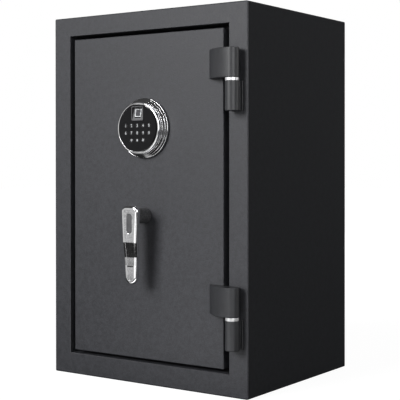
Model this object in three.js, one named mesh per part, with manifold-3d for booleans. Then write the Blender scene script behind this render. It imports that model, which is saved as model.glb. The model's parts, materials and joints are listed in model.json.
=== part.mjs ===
// A free-standing steel safe with a hinged door, a round keypad lock with a fingerprint
// sensor, a turning lever and three live bolts. Millimetres, +Z up, front towards -Y.
// The origin is the middle of the body's footprint, on the floor. The door is shut, the
// lever hangs down and the bolts are withdrawn.
import * as THREE from "three";
import { mergeVertices } from "three/addons/utils/BufferGeometryUtils.js";
import Module from "manifold-3d";

const wasm = await Module();
wasm.setup();

// Body
const bodyWidth = 396;
const bodyDepth = 320;
const bodyHeight = 610;
const shellSheet = 3;
const frameSheet = 3;
const linerSheet = 1.5;
const sealedGap = 0.35; // between pieces that are set into each other
const overrun = 1; // how far a cut runs past a face, or a joined piece into its neighbour

// Door opening in the front frame, and the step behind it
const frameSide = 34.75; // face of the frame beside the opening
const frameHeader = 31.75; // and above it
const openingWidth = bodyWidth - 2 * frameSide;
const openingBottom = 35.5;
const openingTop = bodyHeight - frameHeader;
const stepDepth = 44; // from the front face back to the step
const stepInset = 17.25; // how far the step narrows the opening
const returnLength = 31; // from the step's front back to the return's rear edge
const linerLap = 5; // the liner sleeves over the return by this much
const insideDepth = 200.5; // from the return's rear edge to the liner's back

// Inside
const sealInset = 3;
const sealWidth = 10;
const sealThickness = 5.5;
const matThickness = 3;
const matMargin = 3;
const shelfHeight = 298; // top of the rails above the floor
const shelfSheet = 1.5;
const shelfLip = 12;
const shelfFront = 16; // from the liner's lap edge back to the shelf's lip
const shelfBack = 5;
const railLeg = 12;
const railSheet = 1.5;

// Anchor holes, through the base and through the back
const anchorRadius = 6;
const anchorInset = 103; // from the sides of the body
const backAnchorDrop = 130; // from the top of the body
const baseAnchorX = bodyWidth / 2 - anchorInset;
const baseAnchorY = 30;
const backAnchorX = bodyWidth / 2 - anchorInset;
const backAnchorZ = bodyHeight - backAnchorDrop;

// Door slab
const doorSideGap = 10;
const doorBaseGap = 6;
const doorHeadGap = 6.75;
const keypadDrop = 153.5; // keypad centre below the top of the door
const handleDrop = 141.75; // lever axis below the keypad centre
const doorWidth = openingWidth - 2 * doorSideGap;
const doorBottom = openingBottom + doorBaseGap;
const doorTop = openingTop - doorHeadGap;
const doorThickness = 38;
const keypadZ = doorTop - keypadDrop;
const handleZ = keypadZ - handleDrop;
const doorFrontSheet = 4;
const doorReturnSheet = 3;
const innerPlateSheet = 2;
const hardPlateSheet = 4;
const hardPlateWidth = 120;
const hardPlateBelow = 51.25; // below the lever axis
const hardPlateAbove = 32.5; // above the keypad centre
const hardPlateBottom = handleZ - hardPlateBelow;
const hardPlateTop = keypadZ + hardPlateAbove;

// Cover over the boltwork, on the door's inner face
const coverSideMargin = 23.25; // from the edges of the door
const coverEndMargin = 24.5;
const coverWidth = doorWidth - 2 * coverSideMargin;
const coverBottom = doorBottom + coverEndMargin;
const coverTop = doorTop - coverEndMargin;
const coverDepth = 34;
const coverSheet = 1.5;
const coverFlange = 10;

// Hinges, on the right
const hingeInset = 19; // pin axis from the side of the body
const hingeX = bodyWidth / 2 - hingeInset;
const hingeReach = 15; // pin axis in front of the frame's face
const barrelRadius = 11;
const barrelHeight = 45.5;
const hingeRise = 34.75; // lower hinge above the bottom of the door
const hingeDrop = 129.75; // upper hinge base below the top of the door
const hingeBases = { lower: doorBottom + hingeRise, upper: doorTop - hingeDrop };
const washerHeight = 5;
const washerRadius = 10.6;
const washerClearance = 0.35;
const pinRadius = 4;
const pinClearance = 0.35;
const pinSeat = 5; // solid end of the lower barrel under the pin
const pinCap = 6; // solid end of the arm over the pin
const leafInner = 11; // the leaf from the pin axis towards the door
const leafOuter = 12; // and towards the side of the body
const leafLeft = hingeX - leafInner;
const leafRight = hingeX + leafOuter;
const leafThickness = 4;
const neckHalfWidth = 7; // the neck joins the barrel to the leaf
const neckStart = 8; // behind the pin's axis
const armFootLap = 24.25; // how far the arm lies on the door
const armTip = 3; // thickness of the arm's end, from which its front rises in one arc
const armFrameClearance = 4;

// Keypad, on the door's centre line
const keypadBaseRadius = 48.25;
const keypadBaseThickness = 2;
const housingSteps = [
  [49, 5],
  [46.5, 8.75],
  [44, 12.5],
]; // radius and front of each step; all keypad depths are from the door's face
const housingStepSlope = 0.25; // how much each step falls towards its edge
const housingBore = 40.5;
const housingFront = 14.5;
const ledgeRadius = 36.5;
const ledgeThickness = 2;
const bezelOuterRadius = 42.5;
const bezelInnerRadius = 38.5;
const bezelLand = [39.75, 41]; // flat front between the inner slope and the outer chamfer
const bezelShoulder = 18.5;
const bezelFront = 19.5;
const bezelInnerEdge = 18;
const faceFront = 21;
const boardRadius = 36;
const boardBack = 6;
const boardThickness = 1.5;
const boardBossRadius = 30;
const cableHoleRadius = 6;

// Keys
const keyRadius = 4.4;
const keyFlange = 0.7;
const keyClearance = 0.4;
const keyPitchX = 11.9;
const keyPitchZ = 11.8;
const firstRowZ = 4; // above the keypad's centre
const keyStandProud = 0.1;
const keyBack = 12;
const keyFlangeFront = 14.2;
const keyTravel = 0.8;
const switchGap = 0.2;
const switchRadius = 2;
const switchSides = 8;
const keyRows = [
  ["1", "2", "3", "4", "5"],
  ["6", "7", "8", "9", "0"],
  ["star", "bell", "hash"],
];

// Fingerprint sensor, above the keys
const sensorFrameWidth = 23.5;
const sensorFrameHeight = 23;
const sensorFrameZ = 23.75; // centre above the keypad's centre
const sensorFrameProud = 0.3;
const sensorFrameCorner = 2.5;
const sensorLip = 1.1; // rim round the pocket, whose floor slopes out towards its foot
const sensorFloorTop = 16.4;
const sensorFloorBottom = 20.7;
const sensorGlassWidth = 12.5;
const sensorGlassHeight = 13.2;
const sensorGlassRise = 0.8; // above the middle of the frame
const sensorGlassThickness = 0.8;
const sensorGlassCorner = 0.8;

// Lever and what turns with it
const leverAbove = 17; // above the axis
const leverBelow = 109.25; // below it
const leverTopZ = handleZ + leverAbove;
const leverBottomZ = handleZ - leverBelow;
const leverHeadWidth = 33;
const leverTipWidth = 23;
const leverThickness = 8.5;
const leverHeadCorner = 10;
// Front of the lever: distances below its top, and from the door's face
const leverFront = [
  [0, 42.75],
  [58.5, 42.75],
  [82.25, 40.25],
  [95.75, 39.75],
  [126.25, 39.5],
];
const inlayWidth = 11.4;
const inlayHeight = 33.4;
const inlayTopBelow = 11.65;
const inlayRecess = 1.25;
const inlayThickness = 0.7;
const hubRadius = 12.7;
const hubClearance = 0.3;
const spindleRadius = 5;
const spindleClearance = 0.35;
const spindleInHub = 25;
const bushRadius = 10;
const bushFlangeRadius = 14;
const bushFlangeThickness = 1;
const crankRadius = 25;
const crankFront = 1.5; // gap from the inner plate to the crank disc
const crankThickness = 5;
const spindleEnd = 10; // how far the spindle stands behind the inner plate

// Boltwork behind the inner plate: depths are from the plate's rear face
const boltTravel = 24;
const handleTurn = 80; // degrees
const crankPinRadius = 4;
const crankPinEnd = 17.5;
const crankSlotClearance = 0.6; // side play that lets a turning pin drive the bar evenly
const boltRadius = 9;
const boltDepth = 20; // bolt axis behind the inner plate
const boltTipInset = 20.25; // tips from the edge of the door, withdrawn
const boltLowRise = 108.5; // lowest bolt above the bottom of the door
const boltHighDrop = 109.5; // highest bolt below the top of the door
const boltTipX = doorWidth / 2 - boltTipInset; // left of the centre line
const boltChamfer = 2;
const boltClearance = 0.4;
const boltTailRadius = 4.5;
const boltTailLength = 8;
const boltLow = doorBottom + boltLowRise;
const boltHigh = doorTop - boltHighDrop;
const boltHeights = { lower: boltLow, middle: (boltLow + boltHigh) / 2, upper: boltHigh };
const barFront = 12;
const barSheet = 3;
const boltReach = 34; // from the bar to the bolt tips
const barLeft = boltTipX - boltReach; // left of the centre line, withdrawn
const barRight = 60; // right edge of the bar's web, also left of the centre line
const barMargin = 20;
const barFlangeEnd = 30;
const armBelow = 36.25; // the arm round the lever axis
const armAbove = 13.75;
const armZ = [handleZ - armBelow, handleZ + armAbove];
const armInset = 74; // end of the arm from the side of the cover
const armRight = coverWidth / 2 - armInset;
const tipStandOut = 5; // bolt tips outside the guide, withdrawn
const guideX = boltTipX - tipStandOut;
const guideSheet = 3;
const guideFoot = 18;
const guideDepth = 31;
const guideMargin = 30;
const frameHoleClearance = 1;

// Fixed bolts on the hinge side
const fixedBoltRadius = 7;
const fixedBoltDepth = 22;
const fixedBoltReach = 1.75; // tips past the edge of the door
const fixedBoltLength = 34;
const fixedBoltFootWidth = 21;
const fixedBoltRise = 98.5; // lower one above the bottom of the door
const fixedBoltDrop = 99.5; // upper one below the top of the door
const fixedBoltTipX = doorWidth / 2 + fixedBoltReach;
const fixedBoltRoot = fixedBoltTipX - fixedBoltLength;
const fixedBoltFoot = [fixedBoltRoot - fixedBoltFootWidth, fixedBoltRoot];
const fixedBoltFootHeight = 24;
const fixedBoltHeights = { lower: doorBottom + fixedBoltRise, upper: doorTop - fixedBoltDrop };
const fixedSlotDepths = [10, 30.5]; // front and rear ends of the swing slot in the return

// Lock, wiring and battery
const lockWidth = 70;
const lockInset = 1; // from the end of the arm
const lockDrop = 42.25; // top of the case below the lever axis
const lockHeight = 62;
const lockX = [armRight - lockInset - lockWidth, armRight - lockInset];
const lockZ = [handleZ - lockDrop - lockHeight, handleZ - lockDrop];
const lockDepth = 24;
const lockBoltX = (lockX[0] + lockX[1]) / 2;
const lockBoltSize = 8;
const lockBoltClearance = 0.35;
const lockBoltRest = 0.6; // gap from the bolt's end to the bar
const lockBoltTravel = 6;
const lockBoltLength = 25;
const lockBoltDepth = 13.5; // lock bolt axis behind the inner plate
const notchClearance = 0.6;
const notchSpare = 1.2;
const batteryInset = 8; // from the side of the cover
const batteryWidth = 46;
const batteryDrop = 21.5; // below the keypad centre
const batteryHeight = 78;
const batteryX = [coverWidth / 2 - batteryInset - batteryWidth, coverWidth / 2 - batteryInset];
const batteryZ = [keypadZ - batteryDrop - batteryHeight, keypadZ - batteryDrop];
const batteryDepth = 24;
const cableRadius = 1.75;
const cableLift = 5; // wiring axis behind the inner plate
const cableSweep = 25; // size of the wiring bends

// Places worked out from the sizes above
const frontY = -bodyDepth / 2;
const backY = bodyDepth / 2;
const halfBody = bodyWidth / 2;
const halfOpening = openingWidth / 2;
const stepY = frontY + stepDepth;
const returnY = stepY + returnLength;
const innerX = halfOpening - stepInset;
const innerBottom = openingBottom + stepInset;
const innerTop = openingTop - stepInset;
const linerX = innerX + frameSheet; // the liner's inner faces lie on the return's outer faces
const linerBottom = innerBottom - frameSheet;
const linerTop = innerTop + frameSheet;
const linerFrontY = returnY - linerLap;
const linerBackY = returnY + insideDepth;
const plateY = frontY + doorThickness; // rear face of the door slab
const coverY = plateY + coverDepth;
const halfDoor = doorWidth / 2;
const armFootX = halfDoor - armFootLap;
const halfCover = coverWidth / 2;
const hingeY = frontY - hingeReach;
const boltY = plateY + boltDepth;
const barY = [plateY + barFront, plateY + barFront + barSheet];
const crankSwing = THREE.MathUtils.degToRad(handleTurn / 2);
const crankArm = boltTravel / 2 / Math.sin(crankSwing);

// Geometry helpers

// A box from its low and high limits on each axis.
function block([x0, x1], [y0, y1], [z0, z1]) {
  const box = new THREE.BoxGeometry(x1 - x0, y1 - y0, z1 - z0);
  return box.translate((x0 + x1) / 2, (y0 + y1) / 2, (z0 + z1) / 2);
}

// A round bar through a point, along Y, X or Z.
function barAlongY(radius, [y0, y1], x, z, sides = 24) {
  const bar = new THREE.CylinderGeometry(radius, radius, y1 - y0, sides);
  return bar.translate(x, (y0 + y1) / 2, z);
}

function barAlongX(radius, [x0, x1], y, z, sides = 24) {
  const bar = new THREE.CylinderGeometry(radius, radius, x1 - x0, sides).rotateZ(-Math.PI / 2);
  return bar.translate((x0 + x1) / 2, y, z);
}

function barAlongZ(radius, [z0, z1], x, y, sides = 24) {
  const bar = new THREE.CylinderGeometry(radius, radius, z1 - z0, sides).rotateX(Math.PI / 2);
  return bar.translate(x, y, (z0 + z1) / 2);
}

// A closed [radius, height] outline turned about Y, listed with its outside going up.
function turned(outline, sides = 24) {
  return new THREE.LatheGeometry(
    outline.map(([radius, height]) => new THREE.Vector2(radius, height)),
    sides,
  );
}

// A rectangle in X and Z, with an optional smaller one taken out of it.
function rectangle([x0, x1], [z0, z1], hole) {
  const shape = new THREE.Shape([
    new THREE.Vector2(x0, z0),
    new THREE.Vector2(x1, z0),
    new THREE.Vector2(x1, z1),
    new THREE.Vector2(x0, z1),
  ]);
  if (hole) shape.holes.push(rectangle(hole[0], hole[1]));
  return shape;
}

// A rectangle about a centre, with round corners.
function roundedRectangle(x, z, width, height, radius) {
  const shape = new THREE.Shape();
  const right = x + width / 2 - radius;
  const left = x - width / 2 + radius;
  const top = z + height / 2 - radius;
  const bottom = z - height / 2 + radius;
  shape.absarc(right, top, radius, 0, Math.PI / 2, false);
  shape.absarc(left, top, radius, Math.PI / 2, Math.PI, false);
  shape.absarc(left, bottom, radius, Math.PI, 1.5 * Math.PI, false);
  shape.absarc(right, bottom, radius, 1.5 * Math.PI, 2 * Math.PI, false);
  return shape;
}

// An upright outline with half-round ends, about a centre.
function capsule(x, z, width, height) {
  const shape = new THREE.Shape();
  const reach = (height - width) / 2;
  shape.absarc(x, z + reach, width / 2, 0, Math.PI, false);
  shape.absarc(x, z - reach, width / 2, Math.PI, 2 * Math.PI, false);
  return shape;
}

// An outline in X and Z made solid between two places on Y.
function alongY(shape, [y0, y1], curveSegments = 4) {
  const made = new THREE.ExtrudeGeometry(shape, { depth: y1 - y0, bevelEnabled: false, curveSegments });
  return made.rotateX(Math.PI / 2).translate(0, y1, 0);
}

// An outline in Y and Z made solid between two places on X.
function alongX(shape, [x0, x1], curveSegments = 4) {
  const made = new THREE.ExtrudeGeometry(shape, { depth: x1 - x0, bevelEnabled: false, curveSegments });
  return made.rotateY(Math.PI / 2).rotateX(Math.PI / 2).translate(x0, 0, 0);
}

// An outline in X and Y made solid between two heights.
function alongZ(shape, [z0, z1], curveSegments = 8) {
  const made = new THREE.ExtrudeGeometry(shape, { depth: z1 - z0, bevelEnabled: false, curveSegments });
  return made.translate(0, 0, z0);
}

function toSolid(geometry) {
  const bare = geometry.clone();
  bare.deleteAttribute("normal");
  bare.deleteAttribute("uv");
  const merged = mergeVertices(bare, 1e-4);
  return new wasm.Manifold(
    new wasm.Mesh({
      numProp: 3,
      vertProperties: merged.attributes.position.array,
      triVerts: new Uint32Array(merged.index.array),
    }),
  );
}

function toGeometry(solid) {
  const mesh = solid.getMesh();
  const geometry = new THREE.BufferGeometry();
  geometry.setAttribute("position", new THREE.BufferAttribute(mesh.vertProperties, 3));
  geometry.setIndex(new THREE.BufferAttribute(mesh.triVerts, 1));
  return geometry;
}

function joined(...geometries) {
  return toGeometry(geometries.map(toSolid).reduce((whole, piece) => whole.add(piece)));
}

function cut(geometry, ...tools) {
  return toGeometry(tools.map(toSolid).reduce((left, tool) => left.subtract(tool), toSolid(geometry)));
}

// Materials
function finish(color, roughness, metalness) {
  return new THREE.MeshStandardMaterial({ color, roughness, metalness });
}

const paintedSteel = finish(0x54565a, 0.62, 0.1);
const zincSteel = finish(0xa9acad, 0.45, 0.85);
const chrome = finish(0xd8dadc, 0.08, 1);
const brightSteel = finish(0xd0d2d3, 0.25, 1);
const satinSteel = finish(0x77787a, 0.4, 0.9);
const blackPaint = finish(0x1d1e20, 0.6, 0.1);
const glossBlack = finish(0x0b0b0c, 0.12, 0);
const blackPlastic = finish(0x17181a, 0.5, 0);
const rubber = finish(0x151515, 0.85, 0);
const castFill = finish(0xb9b4a8, 0.95, 0);
const felt = finish(0x2b2c2f, 1, 0);
const brass = finish(0xb08d4c, 0.35, 0.9);
const circuitGreen = finish(0x1f5a37, 0.5, 0);
const sensorGlass = finish(0x2a2c30, 0.05, 0);

const safe = new THREE.Group();

function place(name, geometry, material, group = safe) {
  const mesh = new THREE.Mesh(geometry, material);
  mesh.name = name;
  group.add(mesh);
  return mesh;
}

// The anchor holes as tools that run through the base and through the back.
function anchorTools() {
  const tools = [];
  for (const side of [-1, 1]) {
    const upward = [-overrun, linerBottom + overrun];
    const backward = [linerBackY - overrun, backY + overrun];
    tools.push(barAlongZ(anchorRadius, upward, side * baseAnchorX, baseAnchorY, 16));
    tools.push(barAlongY(anchorRadius, backward, side * backAnchorX, backAnchorZ, 16));
  }
  return tools;
}

// Body: shell, back, frame, filling and liner
function makeBody() {
  const shellY = [frontY + frameSheet, backY - shellSheet];
  const wrap = rectangle([-halfBody, halfBody], [0, bodyHeight], [
    [-halfBody + shellSheet, halfBody - shellSheet],
    [shellSheet, bodyHeight - shellSheet],
  ]);
  place("outer_shell", cut(alongY(wrap, shellY), ...anchorTools()), paintedSteel);

  const panel = block([-halfBody, halfBody], [backY - shellSheet, backY], [0, bodyHeight]);
  place("back_panel", cut(panel, ...anchorTools()), paintedSteel);

  place("front_frame", makeFrontFrame(), paintedSteel);

  const jamb = halfOpening + frameSheet + sealedGap;
  const filling = block(
    [-halfBody + shellSheet, halfBody - shellSheet],
    shellY,
    [shellSheet, bodyHeight - shellSheet],
  );
  const jambSpace = block(
    [-jamb, jamb],
    [frontY, returnY],
    [openingBottom - frameSheet - sealedGap, openingTop + frameSheet + sealedGap],
  );
  const linerSkin = linerSheet + sealedGap;
  const linerSpace = block(
    [-linerX - linerSkin, linerX + linerSkin],
    [linerFrontY - sealedGap, linerBackY + linerSkin],
    [linerBottom - linerSkin, linerTop + linerSkin],
  );
  place("fire_fill", cut(filling, jambSpace, linerSpace, ...anchorTools()), castFill);

  const linerOuter = block(
    [-linerX - linerSheet, linerX + linerSheet],
    [linerFrontY, linerBackY + linerSheet],
    [linerBottom - linerSheet, linerTop + linerSheet],
  );
  const linerInner = block([-linerX, linerX], [linerFrontY - overrun, linerBackY], [linerBottom, linerTop]);
  place("inner_liner", cut(linerOuter, linerInner, ...anchorTools()), zincSteel);
}

// Face ring, jamb, step and return as one folded frame, with the bolt holes on the left
// and the swing slots of the fixed bolts on the right.
function makeFrontFrame() {
  const opening = [
    [-halfOpening, halfOpening],
    [openingBottom, openingTop],
  ];
  const jambOuter = [
    [-halfOpening - frameSheet, halfOpening + frameSheet],
    [openingBottom - frameSheet, openingTop + frameSheet],
  ];
  const inner = [
    [-innerX, innerX],
    [innerBottom, innerTop],
  ];
  const returnOuter = [
    [-linerX, linerX],
    [linerBottom, linerTop],
  ];
  const face = alongY(rectangle([-halfBody, halfBody], [0, bodyHeight], opening), [
    frontY,
    frontY + frameSheet,
  ]);
  const jamb = alongY(rectangle(...jambOuter, opening), [frontY, stepY + frameSheet]);
  const step = alongY(rectangle(...jambOuter, inner), [stepY, stepY + frameSheet]);
  const rearReturn = alongY(rectangle(...returnOuter, inner), [stepY, returnY]);
  const holes = Object.values(boltHeights).map((z) =>
    barAlongX(boltRadius + frameHoleClearance, [-linerX - overrun, -innerX + overrun], boltY, z),
  );
  const slots = Object.values(fixedBoltHeights).map((z) =>
    block(
      [innerX - overrun, linerX + overrun],
      [plateY + fixedSlotDepths[0], plateY + fixedSlotDepths[1]],
      [z - fixedBoltRadius - frameHoleClearance, z + fixedBoltRadius + frameHoleClearance],
    ),
  );
  return cut(joined(face, jamb, step, rearReturn), ...holes, ...slots);
}

// Seal, shelf, rails and mat
function makeInside() {
  const sealInner = [
    [-innerX - sealInset, innerX + sealInset],
    [innerBottom - sealInset, innerTop + sealInset],
  ];
  const sealOuter = [
    [sealInner[0][0] - sealWidth, sealInner[0][1] + sealWidth],
    [sealInner[1][0] - sealWidth, sealInner[1][1] + sealWidth],
  ];
  place("door_seal", alongY(rectangle(...sealOuter, sealInner), [stepY - sealThickness, stepY]), rubber);

  const matY = [returnY + matMargin, linerBackY - matMargin];
  const mat = block(
    [-linerX + matMargin, linerX - matMargin],
    matY,
    [linerBottom, linerBottom + matThickness],
  );
  place("floor_mat", mat, felt);

  const railY = [linerFrontY + shelfFront, linerBackY - shelfBack];
  const railWalls = { left: [-linerX, -linerX + railSheet], right: [linerX - railSheet, linerX] };
  const railLedges = { left: [-linerX, -linerX + railLeg], right: [linerX - railLeg, linerX] };
  for (const side of ["left", "right"]) {
    const wall = block(railWalls[side], railY, [shelfHeight - railLeg, shelfHeight]);
    const ledge = block(railLedges[side], railY, [shelfHeight - railSheet, shelfHeight]);
    place(`shelf_rail_${side}`, joined(wall, ledge), zincSteel);
  }
  const shelfX = [-linerX + sealedGap, linerX - sealedGap];
  const shelfTop = shelfHeight + shelfSheet;
  const lipY = [railY[0] - sealedGap - shelfSheet, railY[0] - sealedGap];
  const sheet = block(shelfX, [lipY[0], railY[1]], [shelfHeight, shelfTop]);
  const lip = block(shelfX, lipY, [shelfTop - shelfLip, shelfTop]);
  place("shelf", joined(sheet, lip), zincSteel);
}

// One hinge: frame leaf with its barrel, pin and washer on the body, arm on the door.
function makeHinge(position, baseZ, doorGroup) {
  const barrelTop = baseZ + barrelHeight;
  const armBottom = barrelTop + washerHeight + washerClearance;
  const armTop = armBottom + barrelHeight;
  const boreRadius = pinRadius + pinClearance;

  const leaf = block([leafLeft, leafRight], [frontY - leafThickness, frontY], [baseZ, barrelTop]);
  const neck = block(
    [hingeX - neckHalfWidth, hingeX + neckHalfWidth],
    [hingeY + neckStart, frontY - leafThickness + overrun],
    [baseZ, barrelTop],
  );
  const barrel = barAlongZ(barrelRadius, [baseZ, barrelTop], hingeX, hingeY, 40);
  const pinBore = barAlongZ(boreRadius, [baseZ + pinSeat, armTop - pinCap], hingeX, hingeY);
  place(`frame_hinge_${position}`, cut(joined(leaf, neck, barrel), pinBore), paintedSteel);

  const pinLength = [baseZ + pinSeat, armTop - pinCap - pinClearance];
  place(`hinge_pin_${position}`, barAlongZ(pinRadius, pinLength, hingeX, hingeY), brightSteel);

  const washer = turned([
    [boreRadius, 0],
    [washerRadius, 0],
    [washerRadius, washerHeight],
    [boreRadius, washerHeight],
    [boreRadius, 0],
  ]).rotateX(Math.PI / 2);
  place(`hinge_washer_${position}`, washer.translate(hingeX, hingeY, barrelTop), brightSteel);

  const clearY = frontY - armFrameClearance;
  const along = hingeX - armFootX;
  const rise = hingeReach + barrelRadius - armTip;
  const bend = (along ** 2 + rise ** 2) / (2 * rise);
  const sweep = Math.asin(along / bend);
  const arm = new THREE.Shape();
  arm.moveTo(armFootX, frontY);
  arm.absarc(hingeX, hingeY - barrelRadius + bend, bend, -Math.PI / 2 - sweep, -Math.PI / 2, false);
  arm.absarc(hingeX, hingeY, barrelRadius, -Math.PI / 2, Math.PI / 2, false);
  arm.lineTo(halfDoor, clearY);
  arm.lineTo(halfDoor, frontY);
  const armSolid = alongZ(arm, [armBottom, armTop], 16);
  place(`door_hinge_arm_${position}`, cut(armSolid, pinBore), paintedSteel, doorGroup);
}

// Door slab
function makeDoor(door) {
  const spindleHole = barAlongY(bushRadius + sealedGap, [frontY - overrun, plateY + overrun], 0, handleZ);
  const cableHole = barAlongY(cableHoleRadius, [frontY - overrun, plateY + overrun], 0, keypadZ);
  const slabX = [-halfDoor, halfDoor];
  const fillX = [-halfDoor + doorReturnSheet, halfDoor - doorReturnSheet];
  const fillZ = [doorBottom + doorReturnSheet, doorTop - doorReturnSheet];
  const fillY = [frontY + doorFrontSheet, plateY - innerPlateSheet];

  const slab = block(slabX, [frontY, plateY], [doorBottom, doorTop]);
  const slabInside = block(fillX, [fillY[0], plateY + overrun], fillZ);
  place("door_skin", cut(slab, slabInside, spindleHole, cableHole), paintedSteel, door);

  const hardX = [-hardPlateWidth / 2, hardPlateWidth / 2];
  const hardPocket = block(
    [hardX[0] - sealedGap, hardX[1] + sealedGap],
    [fillY[0] - overrun, fillY[0] + hardPlateSheet + sealedGap],
    [hardPlateBottom - sealedGap, hardPlateTop + sealedGap],
  );
  place("door_fill", cut(block(fillX, fillY, fillZ), hardPocket, spindleHole, cableHole), castFill, door);

  const hardPlate = block(hardX, [fillY[0], fillY[0] + hardPlateSheet], [hardPlateBottom, hardPlateTop]);
  place("hard_plate", cut(hardPlate, spindleHole, cableHole), satinSteel, door);

  const plate = block(fillX, [fillY[1], plateY], fillZ);
  place("door_inner_plate", cut(plate, spindleHole, cableHole), zincSteel, door);
  place("door_back_cover", makeBackCover(), paintedSteel, door);
}

// Pressed pan with a flange all round, a hole for each live bolt on the left and for each
// fixed bolt on the right.
function makeBackCover() {
  const outer = block([-halfCover, halfCover], [plateY, coverY], [coverBottom, coverTop]);
  const flange = block(
    [-halfCover - coverFlange, halfCover + coverFlange],
    [plateY, plateY + coverSheet],
    [coverBottom - coverFlange, coverTop + coverFlange],
  );
  const inside = block(
    [-halfCover + coverSheet, halfCover - coverSheet],
    [plateY - overrun, coverY - coverSheet],
    [coverBottom + coverSheet, coverTop - coverSheet],
  );
  const leftWall = [-halfCover - overrun, -halfCover + coverSheet + overrun];
  const boltHoles = Object.values(boltHeights).map((z) =>
    barAlongX(boltRadius + boltClearance, leftWall, boltY, z),
  );
  const fixedHoles = Object.values(fixedBoltHeights).map((z) =>
    barAlongX(
      fixedBoltRadius + sealedGap,
      [halfCover - coverSheet - overrun, halfCover + overrun],
      plateY + fixedBoltDepth,
      z,
    ),
  );
  return cut(joined(outer, flange), inside, ...boltHoles, ...fixedHoles);
}

// Fixed bolts and the guide of the live bolts
function makeDoorBolts(door) {
  for (const [position, z] of Object.entries(fixedBoltHeights)) {
    const foot = block(
      fixedBoltFoot,
      [plateY, plateY + fixedBoltDepth + fixedBoltRadius],
      [z - fixedBoltFootHeight / 2, z + fixedBoltFootHeight / 2],
    );
    const shank = turned(
      [
        [0, fixedBoltFoot[1] - overrun],
        [fixedBoltRadius, fixedBoltFoot[1] - overrun],
        [fixedBoltRadius, fixedBoltTipX - boltChamfer],
        [fixedBoltRadius - boltChamfer, fixedBoltTipX],
        [0, fixedBoltTipX],
      ],
      24,
    ).rotateZ(-Math.PI / 2);
    shank.translate(0, plateY + fixedBoltDepth, z);
    place(`fixed_bolt_${position}`, joined(foot, shank), brightSteel, door);
  }

  const guideZ = [boltHeights.lower - guideMargin, boltHeights.upper + guideMargin];
  const wall = block([-guideX, -guideX + guideSheet], [plateY, plateY + guideDepth], guideZ);
  const foot = block([-guideX, -guideX + guideFoot], [plateY, plateY + guideSheet], guideZ);
  const holes = Object.values(boltHeights).map((z) =>
    barAlongX(boltRadius + boltClearance, [-guideX - overrun, -guideX + guideSheet + overrun], boltY, z),
  );
  place("bolt_guide", cut(joined(wall, foot), ...holes), zincSteel, door);
}

// Bolt bar: web, flange that carries the bolts, and the arm that the crank drives.
function makeBoltwork(boltwork) {
  const webZ = [boltHeights.lower - barMargin, boltHeights.upper + barMargin];
  const web = block([-barLeft, -barRight], barY, webZ);
  const arm = block([-barLeft, armRight], barY, armZ);
  const flange = block([-barLeft, -barLeft + barSheet], [barY[0], plateY + barFlangeEnd], webZ);

  const slotX = crankArm * Math.sin(crankSwing);
  const slotHalf = crankPinRadius + crankSlotClearance;
  const slot = block(
    [slotX - slotHalf, slotX + slotHalf],
    [barY[0] - overrun, barY[1] + overrun],
    [handleZ - crankArm - slotHalf, handleZ - crankArm * Math.cos(crankSwing) + slotHalf],
  );
  const notchHalf = lockBoltSize / 2 + notchClearance;
  const notches = [0, boltTravel].map((thrown) =>
    block(
      [lockBoltX + thrown - notchHalf, lockBoltX + thrown + notchHalf],
      [barY[0] - overrun, barY[1] + overrun],
      [armZ[0] - overrun, armZ[0] - lockBoltRest + lockBoltTravel + notchSpare],
    ),
  );
  const throughFlange = [-barLeft - overrun, -barLeft + barSheet + overrun];
  const tailHoles = Object.values(boltHeights).map((z) =>
    barAlongX(boltTailRadius + sealedGap, throughFlange, boltY, z, 16),
  );
  place("bolt_bar", cut(joined(web, arm, flange), slot, ...notches, ...tailHoles), zincSteel, boltwork);

  for (const [position, z] of Object.entries(boltHeights)) {
    const bolt = turned(
      [
        [0, barLeft - boltTailLength],
        [boltTailRadius, barLeft - boltTailLength],
        [boltTailRadius, barLeft],
        [boltRadius, barLeft],
        [boltRadius, boltTipX - boltChamfer],
        [boltRadius - boltChamfer, boltTipX],
        [0, boltTipX],
      ],
      24,
    ).rotateZ(Math.PI / 2);
    place(`live_bolt_${position}`, bolt.translate(0, boltY, z), brightSteel, boltwork);
  }
}

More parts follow.
